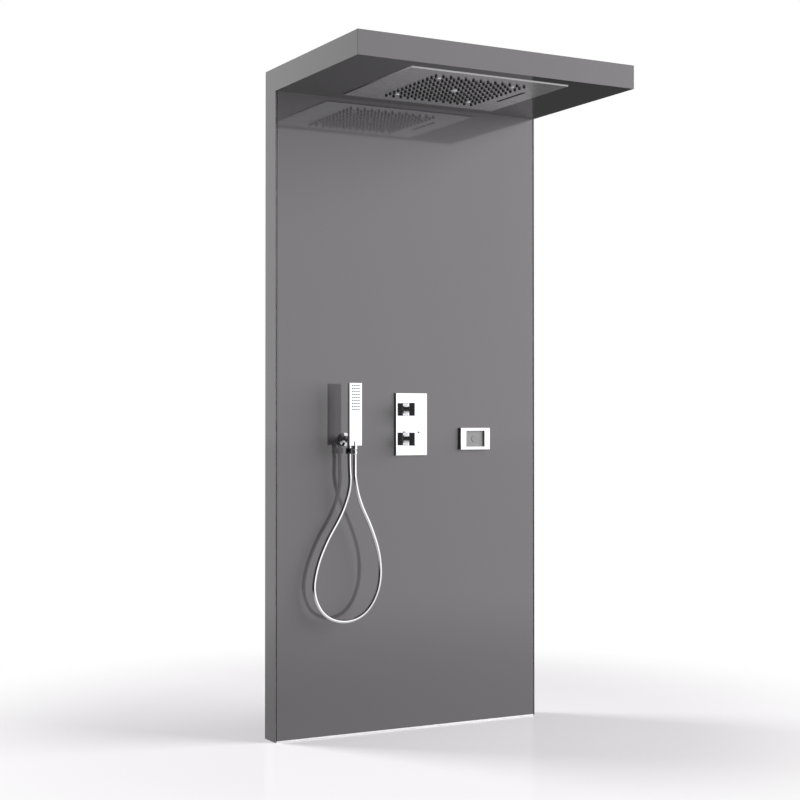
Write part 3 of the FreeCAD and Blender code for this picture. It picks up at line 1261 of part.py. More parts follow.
def light_driver():
    case = block(around(KEYPAD_X, DRIVER_WIDTH / 2), (INNER_FRONT_Y, CABLE_Y + CABLE_RADIUS + DRIVER_BACK),
                 (DRIVER_FOOT_Z, DRIVER_TOP_Z))
    return case.makeFillet(DRIVER_EDGE, edges_along(case, point(0, 0, 1), lambda middle: True))


def control_cable():
    start_z = SET_HEIGHT + KEYPAD_BOX_HALF_H - KEYPAD_BOX_WALL - CABLE_LEAD_IN
    return rod(CABLE_RADIUS, point(KEYPAD_X, CABLE_Y, start_z), point(KEYPAD_X, CABLE_Y, DRIVER_FOOT_Z))


def light_cable():
    route = (point(KEYPAD_X, CABLE_Y, DRIVER_TOP_Z), point(KEYPAD_X, CABLE_Y, CABLE_Z),
             point(KEYPAD_X, HEAD_Y, CABLE_Z), point(CENTRE_LIGHT_RADIUS, HEAD_Y, CABLE_Z))
    return swept(rounded_path(route, [CABLE_BEND] * 2), CABLE_RADIUS)


def cable_gland():
    return ring(GLAND_RADIUS, GLAND_BORE, point(GLAND_X, 0, GLAND_Z), point(GLAND_X, -GLAND_LENGTH, GLAND_Z))


PIECES = (
    front_panel, left_cheek, right_cheek, canopy_underside, canopy_fascia, canopy_top, back_board,
    base_plate, frame_posts, cross_rails, canopy_arms, canopy_front_rail, corner_brackets, frame_bolts,
    head_plate, nozzle_mat, rain_chamber, waterfall_chamber, head_box, head_screws, light_lenses,
    light_modules, rain_elbow, mixer_plate, mixer_gasket, mixer_box, mixer_body, temp_cartridge,
    flow_cartridge, cartridge_nuts, knob_bezels, temp_spindle, flow_spindle, temp_knob, flow_knob,
    stop_button, stop_spring, stop_valves, inlet_pipes, rain_pipe, waterfall_pipe, handset_pipe,
    outlet_body, holder_hook, wall_hose_nut, shower_hose, handset_body, handset_face, handset_nozzles,
    handset_hose_nut, keypad_frame, keypad_pad, light_button, button_spring, keypad_box, keypad_board,
    light_driver, control_cable, light_cable, cable_gland,
)

os.makedirs("parts", exist_ok=True)
for piece in PIECES:
    shape = piece()
    print(piece.__name__, len(shape.Solids), "solids, valid", shape.isValid(), "volume", round(shape.Volume))
    shape.exportStep("parts/" + piece.__name__ + ".step")
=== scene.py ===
"""Dresses the concealed shower set: a lacquered panel and canopy with a rain head, a mixer, a hand shower
and a keypad."""
import json
import logging
import math
from dataclasses import dataclass
from enum import Enum
from typing import Sequence

import bmesh
import bpy
from mathutils import Matrix, Vector
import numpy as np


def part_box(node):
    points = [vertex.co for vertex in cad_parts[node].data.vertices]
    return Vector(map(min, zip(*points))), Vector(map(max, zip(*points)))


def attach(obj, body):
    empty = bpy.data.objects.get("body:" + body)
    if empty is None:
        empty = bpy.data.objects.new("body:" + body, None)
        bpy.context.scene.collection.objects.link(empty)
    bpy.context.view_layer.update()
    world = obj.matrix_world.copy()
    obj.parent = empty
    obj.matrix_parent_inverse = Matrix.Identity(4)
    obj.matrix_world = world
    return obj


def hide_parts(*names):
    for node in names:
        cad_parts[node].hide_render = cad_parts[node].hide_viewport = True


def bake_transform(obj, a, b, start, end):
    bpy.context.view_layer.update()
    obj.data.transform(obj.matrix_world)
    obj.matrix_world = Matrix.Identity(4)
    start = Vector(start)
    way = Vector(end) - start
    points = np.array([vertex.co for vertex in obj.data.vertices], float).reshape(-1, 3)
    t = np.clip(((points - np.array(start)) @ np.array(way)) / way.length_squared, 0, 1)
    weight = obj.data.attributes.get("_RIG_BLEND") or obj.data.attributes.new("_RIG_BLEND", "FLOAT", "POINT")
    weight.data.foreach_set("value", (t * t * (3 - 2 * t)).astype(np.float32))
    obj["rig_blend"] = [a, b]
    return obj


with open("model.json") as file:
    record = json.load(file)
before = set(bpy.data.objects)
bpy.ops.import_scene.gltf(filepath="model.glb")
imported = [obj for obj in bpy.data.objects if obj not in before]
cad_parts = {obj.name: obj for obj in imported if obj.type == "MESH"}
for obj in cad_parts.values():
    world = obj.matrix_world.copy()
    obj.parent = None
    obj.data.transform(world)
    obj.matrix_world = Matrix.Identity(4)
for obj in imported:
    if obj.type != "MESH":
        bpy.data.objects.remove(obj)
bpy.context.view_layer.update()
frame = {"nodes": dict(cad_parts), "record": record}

LOG = logging.getLogger("shower_set")

Colour = tuple[float, float, float]
SMOOTH_ANGLE = math.radians(32)
HEXAGON_SIDES = 6
HEXAGON_TURN = math.tau / HEXAGON_SIDES
CORNER_MARGIN = math.radians(1)
QUARTER_TURN = math.pi / 2
WELD_GAP = 1e-6
# The wave texture's own period along its diagonal
BAND_PERIOD = math.tau / 10
# The share of a turn that counts as near the seam of the hose's UV map
SEAM_MARGIN = 0.25
# Octaves of noise in the patterns of the finishes
CLOUD_DETAIL = 6.0
BRUSH_DETAIL = 4.0
GRAIN_DETAIL = 2.0
RIPPLE_DETAIL = 1.0


class Slot(Enum):
    """The record's material slots."""

    LACQUER = "grey_lacquer"
    CHROME = "chrome"
    BRUSHED = "brushed_steel"
    ZINC = "zinc_steel"
    ALUMINIUM = "aluminium"
    BRASS = "brass"
    COPPER = "copper"
    SILICONE = "black_silicone"
    GREY_PLASTIC = "grey_plastic"
    PALE_PLASTIC = "pale_plastic"
    CIRCUIT = "circuit"
    CABLE = "black_cable"
    LENS = "clear_lens"


class Body(Enum):
    """The bodies that the pieces ride on."""

    PANEL = "panel"
    TEMP_KNOB = "temp_knob"
    STOP_BUTTON = "stop_button"
    LIGHT_BUTTON = "light_button"
    HANDSET = "handset"


class Axis(Enum):
    """The directions that a turned piece may stand along."""

    UP = (0.0, 0.0, 1.0)
    OUT = (0.0, -1.0, 0.0)


# Finishes


class Wiring:
    """A node tree, and the sums that the stage's light is made of."""

    def __init__(self, tree: bpy.types.NodeTree) -> None:
        """Takes hold of a node tree.

        Args:
            tree: the tree of a material or a world.
        """
        self.nodes = tree.nodes
        self.links = tree.links

    def join(self, source: bpy.types.NodeSocket | float, socket: bpy.types.NodeSocket) -> None:
        """Links a pattern to a socket, or sets a number on it."""
        if isinstance(source, bpy.types.NodeSocket):
            self.links.new(source, socket)
        else:
            socket.default_value = source

    def mix(self, share: bpy.types.NodeSocket, low: bpy.types.NodeSocket | float,
            high: bpy.types.NodeSocket | float) -> bpy.types.NodeSocket:
        """A number that goes from low to high as the share goes from 0 to 1."""
        node = self.nodes.new("ShaderNodeMix")
        for source, socket in ((share, node.inputs[0]), (low, node.inputs[2]), (high, node.inputs[3])):
            self.join(source, socket)
        return node.outputs[0]

    def vector(self, operation: str, place: bpy.types.NodeSocket) -> bpy.types.Node:
        """A sum on a place or a direction.

        Args:
            operation: the sum, such as LENGTH.
            place: the place or the direction.

        Returns:
            The node that does the sum.
        """
        node = self.nodes.new("ShaderNodeVectorMath")
        node.operation = operation
        self.links.new(place, node.inputs[0])
        return node

    def towards(self, place: bpy.types.NodeSocket, heading: Sequence[float]) -> bpy.types.NodeSocket:
        """How far a place or a direction lies along a heading."""
        node = self.vector("DOT_PRODUCT", place)
        node.inputs[1].default_value = Vector(heading).normalized()
        return node.outputs["Value"]

    def ease(self, source: bpy.types.NodeSocket, start: float, end: float) -> bpy.types.NodeSocket:
        """A share that rises softly from 0 to 1 as the source goes from start to end."""
        node = self.nodes.new("ShaderNodeMapRange")
        node.interpolation_type = "SMOOTHSTEP"
        node.inputs["From Min"].default_value = start
        node.inputs["From Max"].default_value = end
        self.links.new(source, node.inputs["Value"])
        return node.outputs["Result"]


class Surface(Wiring):
    """A material with its shader, and the few kinds of node that the finishes are made of."""

    def __init__(self, name: str) -> None:
        """Makes an empty material with a principled shader.

        Args:
            name: the material's name.
        """
        self.material = bpy.data.materials.new(name)
        self.material.use_nodes = True
        super().__init__(self.material.node_tree)
        self.shader = next(node for node in self.nodes if node.type == "BSDF_PRINCIPLED")

    def set(self, **values: object) -> None:
        """Sets uniform values on the shader's own sockets.

        Args:
            values: each socket's name, with _ for a space, and its value.
        """
        for key, value in values.items():
            socket = self.shader.inputs[key.replace("_", " ")]
            socket.default_value = (*value, 1.0) if isinstance(value, tuple) else value

    def feed(self, socket: str, source: bpy.types.NodeSocket) -> None:
        """Links a pattern to one of the shader's sockets."""
        self.links.new(source, self.shader.inputs[socket])

    def place(self, scale: Sequence[float], layer: str = "Object") -> bpy.types.NodeSocket:
        """Coordinates for a pattern.

        Args:
            scale: repeats per metre along each axis.
            layer: the texture coordinate that is read, Object or UV.

        Returns:
            The scaled coordinates.
        """
        coordinate = self.nodes.new("ShaderNodeTexCoord")
        mapping = self.nodes.new("ShaderNodeMapping")
        mapping.inputs["Scale"].default_value = scale
        self.links.new(coordinate.outputs[layer], mapping.inputs["Vector"])
        return mapping.outputs["Vector"]

    def noise(self, scale: Sequence[float], detail: float = 3.0) -> bpy.types.NodeSocket:
        """Cloudy noise, stretched by its scale along each axis."""
        node = self.nodes.new("ShaderNodeTexNoise")
        node.inputs["Scale"].default_value = 1.0
        node.inputs["Detail"].default_value = detail
        self.links.new(self.place(scale), node.inputs["Vector"])
        return node.outputs["Fac"]

    def cells(self, scale: float) -> bpy.types.NodeSocket:
        """Crystal-like cells, each with its own grey."""
        node = self.nodes.new("ShaderNodeTexVoronoi")
        node.inputs["Scale"].default_value = 1.0
        self.links.new(self.place((scale, scale, scale)), node.inputs["Vector"])
        separate = self.nodes.new("ShaderNodeSeparateColor")
        self.links.new(node.outputs["Color"], separate.inputs["Color"])
        return separate.outputs["Red"]

    def bands(self, scale: Sequence[float], layer: str) -> bpy.types.NodeSocket:
        """Even sine bands across the sum of the scaled coordinates."""
        node = self.nodes.new("ShaderNodeTexWave")
        node.bands_direction = "DIAGONAL"
        node.inputs["Scale"].default_value = 1.0
        self.links.new(self.place(scale, layer), node.inputs["Vector"])
        return node.outputs["Fac"]

    def remap(self, source: bpy.types.NodeSocket, low: float, high: float,
              start: float = 0.25, end: float = 0.75) -> bpy.types.NodeSocket:
        """Stretches a pattern's middle values to lie between two numbers.

        Args:
            source: the pattern.
            low: the result at start and below.
            high: the result at end and above.
            start: the pattern's value that gives low.
            end: the pattern's value that gives high.

        Returns:
            The stretched pattern.
        """
        node = self.nodes.new("ShaderNodeMapRange")
        node.inputs["From Min"].default_value = start
        node.inputs["From Max"].default_value = end
        node.inputs["To Min"].default_value = low
        node.inputs["To Max"].default_value = high
        self.links.new(source, node.inputs["Value"])
        return node.outputs["Result"]

    def tint(self, source: bpy.types.NodeSocket, low: Colour, high: Colour) -> bpy.types.NodeSocket:
        """A colour that goes from low to high as the pattern goes from 0 to 1."""
        node = self.nodes.new("ShaderNodeMix")
        node.data_type = "RGBA"
        self.links.new(source, node.inputs["Factor"])
        colours = [socket for socket in node.inputs if socket.type == "RGBA"]
        colours[0].default_value = (*low, 1.0)
        colours[1].default_value = (*high, 1.0)
        return next(socket for socket in node.outputs if socket.type == "RGBA")

    def relief(self, source: bpy.types.NodeSocket, depth: float, strength: float = 1.0) -> None:
        """Turns a pattern into a bump on the shader's normal.

        Args:
            source: the pattern, from 0 in the valleys to 1 on the ridges.
            depth: the height of the ridges in metres.
            strength: how much of the bump shows.
        """
        node = self.nodes.new("ShaderNodeBump")
        node.inputs["Strength"].default_value = strength
        node.inputs["Distance"].default_value = depth
        self.links.new(source, node.inputs["Height"])
        self.feed("Normal", node.outputs["Normal"])

    def glow(self, brightness: bpy.types.NodeSocket | None = None,
             share: bpy.types.NodeSocket | float = 1.0) -> bpy.types.NodeSocket:
        """A shader that gives light, white unless a brightness is given, by a share."""
        node = self.nodes.new("ShaderNodeEmission")
        if brightness is not None:
            self.links.new(brightness, node.inputs["Color"])
        self.join(share, node.inputs["Strength"])
        return node.outputs[0]

    def overlay(self, share: bpy.types.NodeSocket, under: bpy.types.NodeSocket,
                over: bpy.types.NodeSocket) -> bpy.types.NodeSocket:
        """A shader that goes from one shader to another as the share goes from 0 to 1."""
        node = self.nodes.new("ShaderNodeMixShader")
        for source, socket in zip((share, under, over), node.inputs):
            self.links.new(source, socket)
        return node.outputs[0]


def shaded(colour: Colour, share: float) -> Colour:
    """A colour with each channel multiplied by a share."""
    return (colour[0] * share, colour[1] * share, colour[2] * share)


@dataclass(frozen=True)
class Finish:
    """A finish with cloudy colour, uneven gloss and a fine grain.

    Attributes:
        name: the material's name.
        colour: its mean linear colour.
        spread: how far the colour's brightness strays from the mean.
        metallic: 1 for bare metal.
        gloss: the lowest and highest roughness.
        cloud: clouds of colour and gloss per metre along each axis.
        grain: grains per metre along each axis.
        depth: the height of the grain in metres.
        ior: how strongly its surface mirrors, as a refractive index.
    """

    name: str
    colour: Colour
    spread: float = 0.05
    metallic: float = 0.0
    gloss: tuple[float, float] = (0.4, 0.5)
    cloud: tuple[float, float, float] = (9.0, 9.0, 9.0)
    grain: tuple[float, float, float] = (900.0, 900.0, 900.0)
    depth: float = 0.00003
    ior: float = 1.5

    def shades(self) -> tuple[Colour, Colour]:
        """Its darkest and its lightest colour."""
        return shaded(self.colour, 1 - self.spread), shaded(self.colour, 1 + self.spread)

    def build(self) -> bpy.types.Material:
        """Makes the material."""
        surface = Surface(self.name)
        surface.set(Metallic=self.metallic, IOR=self.ior)
        clouds = surface.remap(surface.noise(self.cloud), 0.0, 1.0)
        surface.feed("Base Color", surface.tint(clouds, *self.shades()))
        surface.feed("Roughness", surface.remap(surface.noise(self.cloud, CLOUD_DETAIL), *self.gloss))
        surface.relief(surface.noise(self.grain, GRAIN_DETAIL), self.depth)
        return surface.material


@dataclass(frozen=True)
class BrushedFinish(Finish):
    """Metal with brush lines, whose grain is stretched along the brushing.

    Attributes:
        anisotropy: how far its reflections are drawn out across the lines.
        strength: how much of the lines' height shows.
    """

    anisotropy: float = 0.5
    strength: float = 0.4

    def build(self) -> bpy.types.Material:
        """Makes the material."""
        surface = Surface(self.name)
        surface.set(Metallic=self.metallic, Anisotropic=self.anisotropy)
        lines = surface.remap(surface.noise(self.grain, BRUSH_DETAIL), 0.0, 1.0)
        surface.feed("Base Color", surface.tint(lines, *self.shades()))
        surface.feed("Roughness", surface.remap(surface.noise(self.grain, GRAIN_DETAIL), *self.gloss))
        surface.relief(lines, self.depth, self.strength)
        return surface.material


@dataclass(frozen=True)
class SpangledFinish(Finish):
    """Zinc-coated sheet with its crystal spangle.

    Attributes:
        spangle: crystals per metre.
    """

    spangle: float = 120.0

    def build(self) -> bpy.types.Material:
        """Makes the material."""
        surface = Surface(self.name)
        surface.set(Metallic=self.metallic)
        cells = surface.cells(self.spangle)
        surface.feed("Base Color", surface.tint(cells, *self.shades()))
        surface.feed("Roughness", surface.remap(cells, *self.gloss, start=0.0, end=1.0))
        surface.relief(surface.noise(self.grain, GRAIN_DETAIL), self.depth)
        return surface.material


@dataclass(frozen=True)
class HoseFinish(Finish):
    """Silvered hose skin over a wound spiral, which shows as faint bands that lean round the hose.

    Attributes:
        turns: turns of the spiral per metre.
        strength: how much of the spiral's height shows.
    """

    turns: float = 420.0
    strength: float = 0.35

    def build(self) -> bpy.types.Material:
        """Makes the material."""
        surface = Surface(self.name)
        surface.set(Metallic=self.metallic)
        spiral = surface.bands((self.turns * BAND_PERIOD, BAND_PERIOD, 0.0), "UV")
        surface.feed("Base Color", surface.tint(spiral, *self.shades()))
        surface.feed("Roughness", surface.remap(surface.noise(self.cloud, CLOUD_DETAIL), *self.gloss))
        surface.relief(spiral, self.depth, self.strength)
        return surface.material


@dataclass(frozen=True)
class LensFinish(Finish):
    """Clear cast lens over a pale lamp, with a faint ripple.

    Attributes:
        transmission: the share of light that passes through it.
        glow: the light that it gives.
    """

    transmission: float = 0.6
    glow: float = 0.1

    def build(self) -> bpy.types.Material:
        """Makes the material."""
        surface = Surface(self.name)
        surface.set(Transmission_Weight=self.transmission, IOR=self.ior)
        surface.set(Emission_Color=self.colour, Emission_Strength=self.glow)
        clouds = surface.remap(surface.noise(self.cloud), 0.0, 1.0)
        surface.feed("Base Color", surface.tint(clouds, *self.shades()))
        surface.feed("Roughness", surface.remap(surface.noise(self.cloud, CLOUD_DETAIL), *self.gloss))
        surface.relief(surface.noise(self.grain, RIPPLE_DETAIL), self.depth)
        return surface.material


@dataclass(frozen=True)
class BoardFinish(Finish):
    """Circuit board with its copper tracks under green resist.

    Attributes:
        track: the colour of the tracks.
        track_width: their width, as a share of the pattern's own step.
        pitch: steps of the pattern per metre.
    """

    track: Colour = (0.10, 0.34, 0.14)
    track_width: float = 0.08
    pitch: float = 260.0

    def build(self) -> bpy.types.Material:
        """Makes the material."""
        surface = Surface(self.name)
        tracks = surface.nodes.new("ShaderNodeTexBrick")
        tracks.inputs["Scale"].default_value = 1.0
        tracks.inputs["Mortar Size"].default_value = self.track_width
        tracks.inputs["Color1"].default_value = (*self.colour, 1.0)
        tracks.inputs["Color2"].default_value = (*shaded(self.colour, 1 - self.spread), 1.0)
        tracks.inputs["Mortar"].default_value = (*self.track, 1.0)
        turn = surface.nodes.new("ShaderNodeVectorRotate")
        turn.rotation_type = "X_AXIS"
        turn.inputs["Angle"].default_value = QUARTER_TURN
        surface.links.new(surface.place((self.pitch, self.pitch, self.pitch)), turn.inputs["Vector"])
        surface.links.new(turn.outputs["Vector"], tracks.inputs["Vector"])
        surface.feed("Base Color", tracks.outputs["Color"])
        surface.feed("Roughness", surface.remap(surface.noise(self.cloud), *self.gloss))
        surface.relief(tracks.outputs["Fac"], self.depth)
        return surface.material


FINISHES: dict[Slot, Finish] = {
    Slot.LACQUER: Finish("grey_lacquer", (0.106, 0.099, 0.106), 0.02, 0.0, (0.05, 0.08), (1.3, 1.3, 1.3),
                         (170.0, 170.0, 170.0), 0.000002, 1.72),
    Slot.CHROME: Finish("polished_chrome", (0.90, 0.90, 0.91), 0.015, 1.0, (0.02, 0.07), (38.0, 38.0, 38.0),
                        (500.0, 500.0, 500.0), 0.000001),
    Slot.BRUSHED: BrushedFinish("brushed_steel", (0.93, 0.93, 0.935), 0.03, 1.0, (0.24, 0.32),
                                (6.0, 6.0, 6.0), (14.0, 1500.0, 1500.0), 0.000002),
    Slot.ZINC: SpangledFinish("zinc_coated_steel", (0.50, 0.51, 0.52), 0.16, 1.0, (0.34, 0.50)),
    Slot.ALUMINIUM: BrushedFinish("mill_aluminium", (0.74, 0.74, 0.75), 0.07, 1.0, (0.28, 0.40),
                                  (6.0, 6.0, 6.0), (700.0, 14.0, 700.0), 0.00001),
    Slot.BRASS: Finish("machined_brass", (0.66, 0.49, 0.22), 0.10, 1.0, (0.20, 0.34), (30.0, 30.0, 30.0),
                       (1200.0, 1200.0, 60.0), 0.00001),
    Slot.COPPER: Finish("drawn_copper", (0.64, 0.32, 0.20), 0.22, 1.0, (0.22, 0.42), (16.0, 16.0, 6.0),
                        (900.0, 900.0, 30.0), 0.00001),
    Slot.SILICONE: Finish("black_silicone", (0.012, 0.012, 0.013), 0.25, 0.0, (0.48, 0.62),
                          (60.0, 60.0, 60.0), (1600.0, 1600.0, 1600.0), 0.00002),
    Slot.GREY_PLASTIC: Finish("grey_plastic", (0.247, 0.244, 0.247), 0.05, 0.0, (0.40, 0.50),
                              (40.0, 40.0, 40.0), (1500.0, 1500.0, 1500.0), 0.00004),
    Slot.PALE_PLASTIC: Finish("pale_plastic", (0.48, 0.48, 0.47), 0.04, 0.0, (0.36, 0.46),
                              (30.0, 30.0, 30.0), (1300.0, 1300.0, 1300.0), 0.00003),
    Slot.CIRCUIT: BoardFinish("circuit_board", (0.02, 0.13, 0.05), 0.15, 0.0, (0.26, 0.36),
                              (40.0, 40.0, 40.0), (900.0, 900.0, 900.0), 0.00003),
    Slot.CABLE: Finish("cable_sheath", (0.016, 0.016, 0.017), 0.2, 0.0, (0.42, 0.56), (50.0, 50.0, 50.0),
                       (1400.0, 1400.0, 200.0), 0.00003),
    Slot.LENS: LensFinish("clear_lens", (0.93, 0.94, 0.95), 0.02, 0.0, (0.04, 0.10), (60.0, 60.0, 60.0),
                          (300.0, 300.0, 300.0), 0.00002),
}
HOSE_SKIN = HoseFinish("silver_hose", (0.88, 0.88, 0.89), 0.04, 1.0, (0.05, 0.10), (60.0, 60.0, 60.0),
                       depth=0.00002)
SYMBOL_INK = Finish("symbol_ink", (0.19, 0.19, 0.192), 0.12, 0.0, (0.34, 0.46), (90.0, 90.0, 90.0),
                    (1800.0, 1800.0, 1800.0), 0.00002)
# A darker copy of the chrome, which paints in the dark reflections of the wall nut: painted shade.
CHROME_PAINTED_SHADE = Finish("chrome_painted_shade", (0.12, 0.12, 0.122), 0.015, 1.0, (0.04, 0.09), (38.0, 38.0, 38.0),
                     (500.0, 500.0, 500.0), 0.000001)
# A pale finish for the strip at the panel's foot, which paints in a thin line of light: painted light.
PAINTED_LIGHT_STRIP = Finish("painted_light_strip", (0.86, 0.85, 0.86), 0.02, 0.0, (0.48, 0.62), (60.0, 60.0, 60.0),
                        (1600.0, 1600.0, 1600.0), 0.00002)


class Workshop:
    """The finishes as materials, and the ways in which a mesh becomes a piece of the object."""

    def __init__(self) -> None:
        """Makes every finish once."""
        self.materials = {slot: finish.build() for slot, finish in FINISHES.items()}
        self.hose_skin = HOSE_SKIN.build()
        self.symbol_ink = SYMBOL_INK.build()
        self.chrome_painted_shade = CHROME_PAINTED_SHADE.build()
        self.painted_light_strip = PAINTED_LIGHT_STRIP.build()

    def dress_nodes(self) -> None:
        """Gives every carried-over node the finish of its slot."""
        slots = {part["node"]: Slot(part["material_slot"]) for part in frame["record"]["subparts"]}
        for name, node in frame["nodes"].items():
            node.data.materials.clear()
            node.data.materials.append(self.materials[slots[name]])
            LOG.info("node %s has %s", name, slots[name].value)

    def piece(self, name: str, mesh: bmesh.types.BMesh, body: Body | None, slot: Slot,
              replaces: Sequence[str] = (), material: bpy.types.Material | None = None) -> bpy.types.Object:
        """Makes a shaped mesh into a piece of the object.

        Args:
            name: the piece's name.
            mesh: its shape, in place.
            body: what it moves with, or None if it bends between two bodies.
            slot: the record's slot that it belongs to.
            replaces: the nodes that it stands for.
            material: its finish, if it isn't the slot's own.

        Returns:
            The piece's object.
        """
        data = bpy.data.meshes.new(name)
        bmesh.ops.recalc_face_normals(mesh, faces=mesh.faces)
        mesh.to_mesh(data)
        mesh.free()
        data.materials.append(material or self.materials[slot])
        data.shade_smooth()
        data.set_sharp_from_angle(angle=SMOOTH_ANGLE)
        made = bpy.data.objects.new(name, data)
        bpy.context.scene.collection.objects.link(made)
        if body:
            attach(made, body.value)
        if replaces:
            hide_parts(*replaces)
        LOG.info("piece %s in %s", name, slot.value)
        return made


def turned(profile: Sequence[tuple[float, float]], foot: Vector, axis: Axis = Axis.UP,
           steps: int = 48) -> bmesh.types.BMesh:
    """Turns a profile about an axis.

    Args:
        profile: the outline as (radius, height) from one end to the other.
        foot: where height 0 lies.
        axis: the direction of height.
        steps: the facets round the piece.

    Returns:
        The turned mesh, in place.
    """
    mesh = bmesh.new()
    points = [mesh.verts.new((radius, 0.0, height)) for radius, height in profile]
    edges = [mesh.edges.new(pair) for pair in zip(points, points[1:])]
    bmesh.ops.spin(mesh, geom=points + edges, cent=(0, 0, 0), axis=(0, 0, 1), angle=math.tau,
                   steps=steps, use_merge=True)
    bmesh.ops.remove_doubles(mesh, verts=mesh.verts, dist=WELD_GAP)
    turn = Vector((0, 0, 1)).rotation_difference(Vector(axis.value)).to_matrix().to_4x4()
    bmesh.ops.transform(mesh, matrix=Matrix.Translation(foot) @ turn, verts=mesh.verts)
    return mesh


def joined(parts: Sequence[bmesh.types.BMesh]) -> bmesh.types.BMesh:
    """Puts several meshes into one."""
    whole = bmesh.new()
    for part in parts:
        data = bpy.data.meshes.new("joining")
        part.to_mesh(data)
        part.free()
        whole.from_mesh(data)
        bpy.data.meshes.remove(data)
    return whole


def slab(low: Vector, high: Vector) -> bmesh.types.BMesh:
    """A plain block between two corners."""
    mesh = bmesh.new()
    bmesh.ops.create_cube(mesh, size=1.0)
    bmesh.ops.scale(mesh, vec=high - low, verts=mesh.verts)
    bmesh.ops.translate(mesh, vec=(low + high) / 2, verts=mesh.verts)
    return mesh


def middle(node: str) -> Vector:
    """The middle of a node's box."""
    low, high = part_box(node)
    return (low + high) / 2


def new_verts(grown: Sequence[object]) -> list[bmesh.types.BMVert]:
    """The vertices among what an operator made."""
    return [item for item in grown if isinstance(item, bmesh.types.BMVert)]


def edges_among(items: Sequence[object], verts: Sequence[bmesh.types.BMVert]) -> list[bmesh.types.BMEdge]:
    """The edges among some items that run between the given vertices."""
    members = set(verts)
    return [item for item in items if isinstance(item, bmesh.types.BMEdge) and members.issuperset(item.verts)]


def grown_ring(mesh: bmesh.types.BMesh, edges: Sequence[bmesh.types.BMEdge],
               ) -> tuple[list[bmesh.types.BMVert], list[bmesh.types.BMEdge]]:
    """Grows a new ring from a ring of edges.

    Args:
        mesh: the mesh that has the ring.
        edges: the ring.

    Returns:
        The vertices and the edges of the new ring, which still lies on the old one.
    """
    grown = bmesh.ops.extrude_edge_only(mesh, edges=edges)["geom"]
    verts = new_verts(grown)
    return verts, edges_among(grown, verts)


# Sub-assemblies


@dataclass
class PaintedPanelEdges:
    """Black strips on the upright edges of the front panel, painted shade for the shadow gaps there, and a
    pale strip along its foot, painted light for the thin bright line there.

    Attributes:
        sheet: a strip's thickness.
        setback: how far the black strips of painted shade stay behind the panel's face.
        foot: the height of the pale strip of painted light.
    """

    sheet: float = 0.0003
    setback: float = 0.0008
    foot: float = 0.004

    def build(self, workshop: Workshop) -> None:
        """Makes the two upright strips of painted shade as one piece, and the strip of painted light at the
        foot.
        """
        low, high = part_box("front_panel")
        # Black strips in the shadow gaps beside the panel's upright edges: painted shade.
        uprights = [slab(Vector((x, low.y + self.setback, low.z)), Vector((x + self.sheet, high.y, high.z)))
                    for x in (low.x - self.sheet, high.x)]
        workshop.piece("gap_shade_strips", joined(uprights), Body.PANEL, Slot.SILICONE)
        # A pale strip along the panel's foot: painted light, standing for a thin bright line.
        strip = slab(Vector((low.x, low.y - self.sheet, low.z)), Vector((high.x, low.y, low.z + self.foot)))
        workshop.piece("foot_light_strip", strip, Body.PANEL, Slot.PALE_PLASTIC, material=workshop.painted_light_strip)


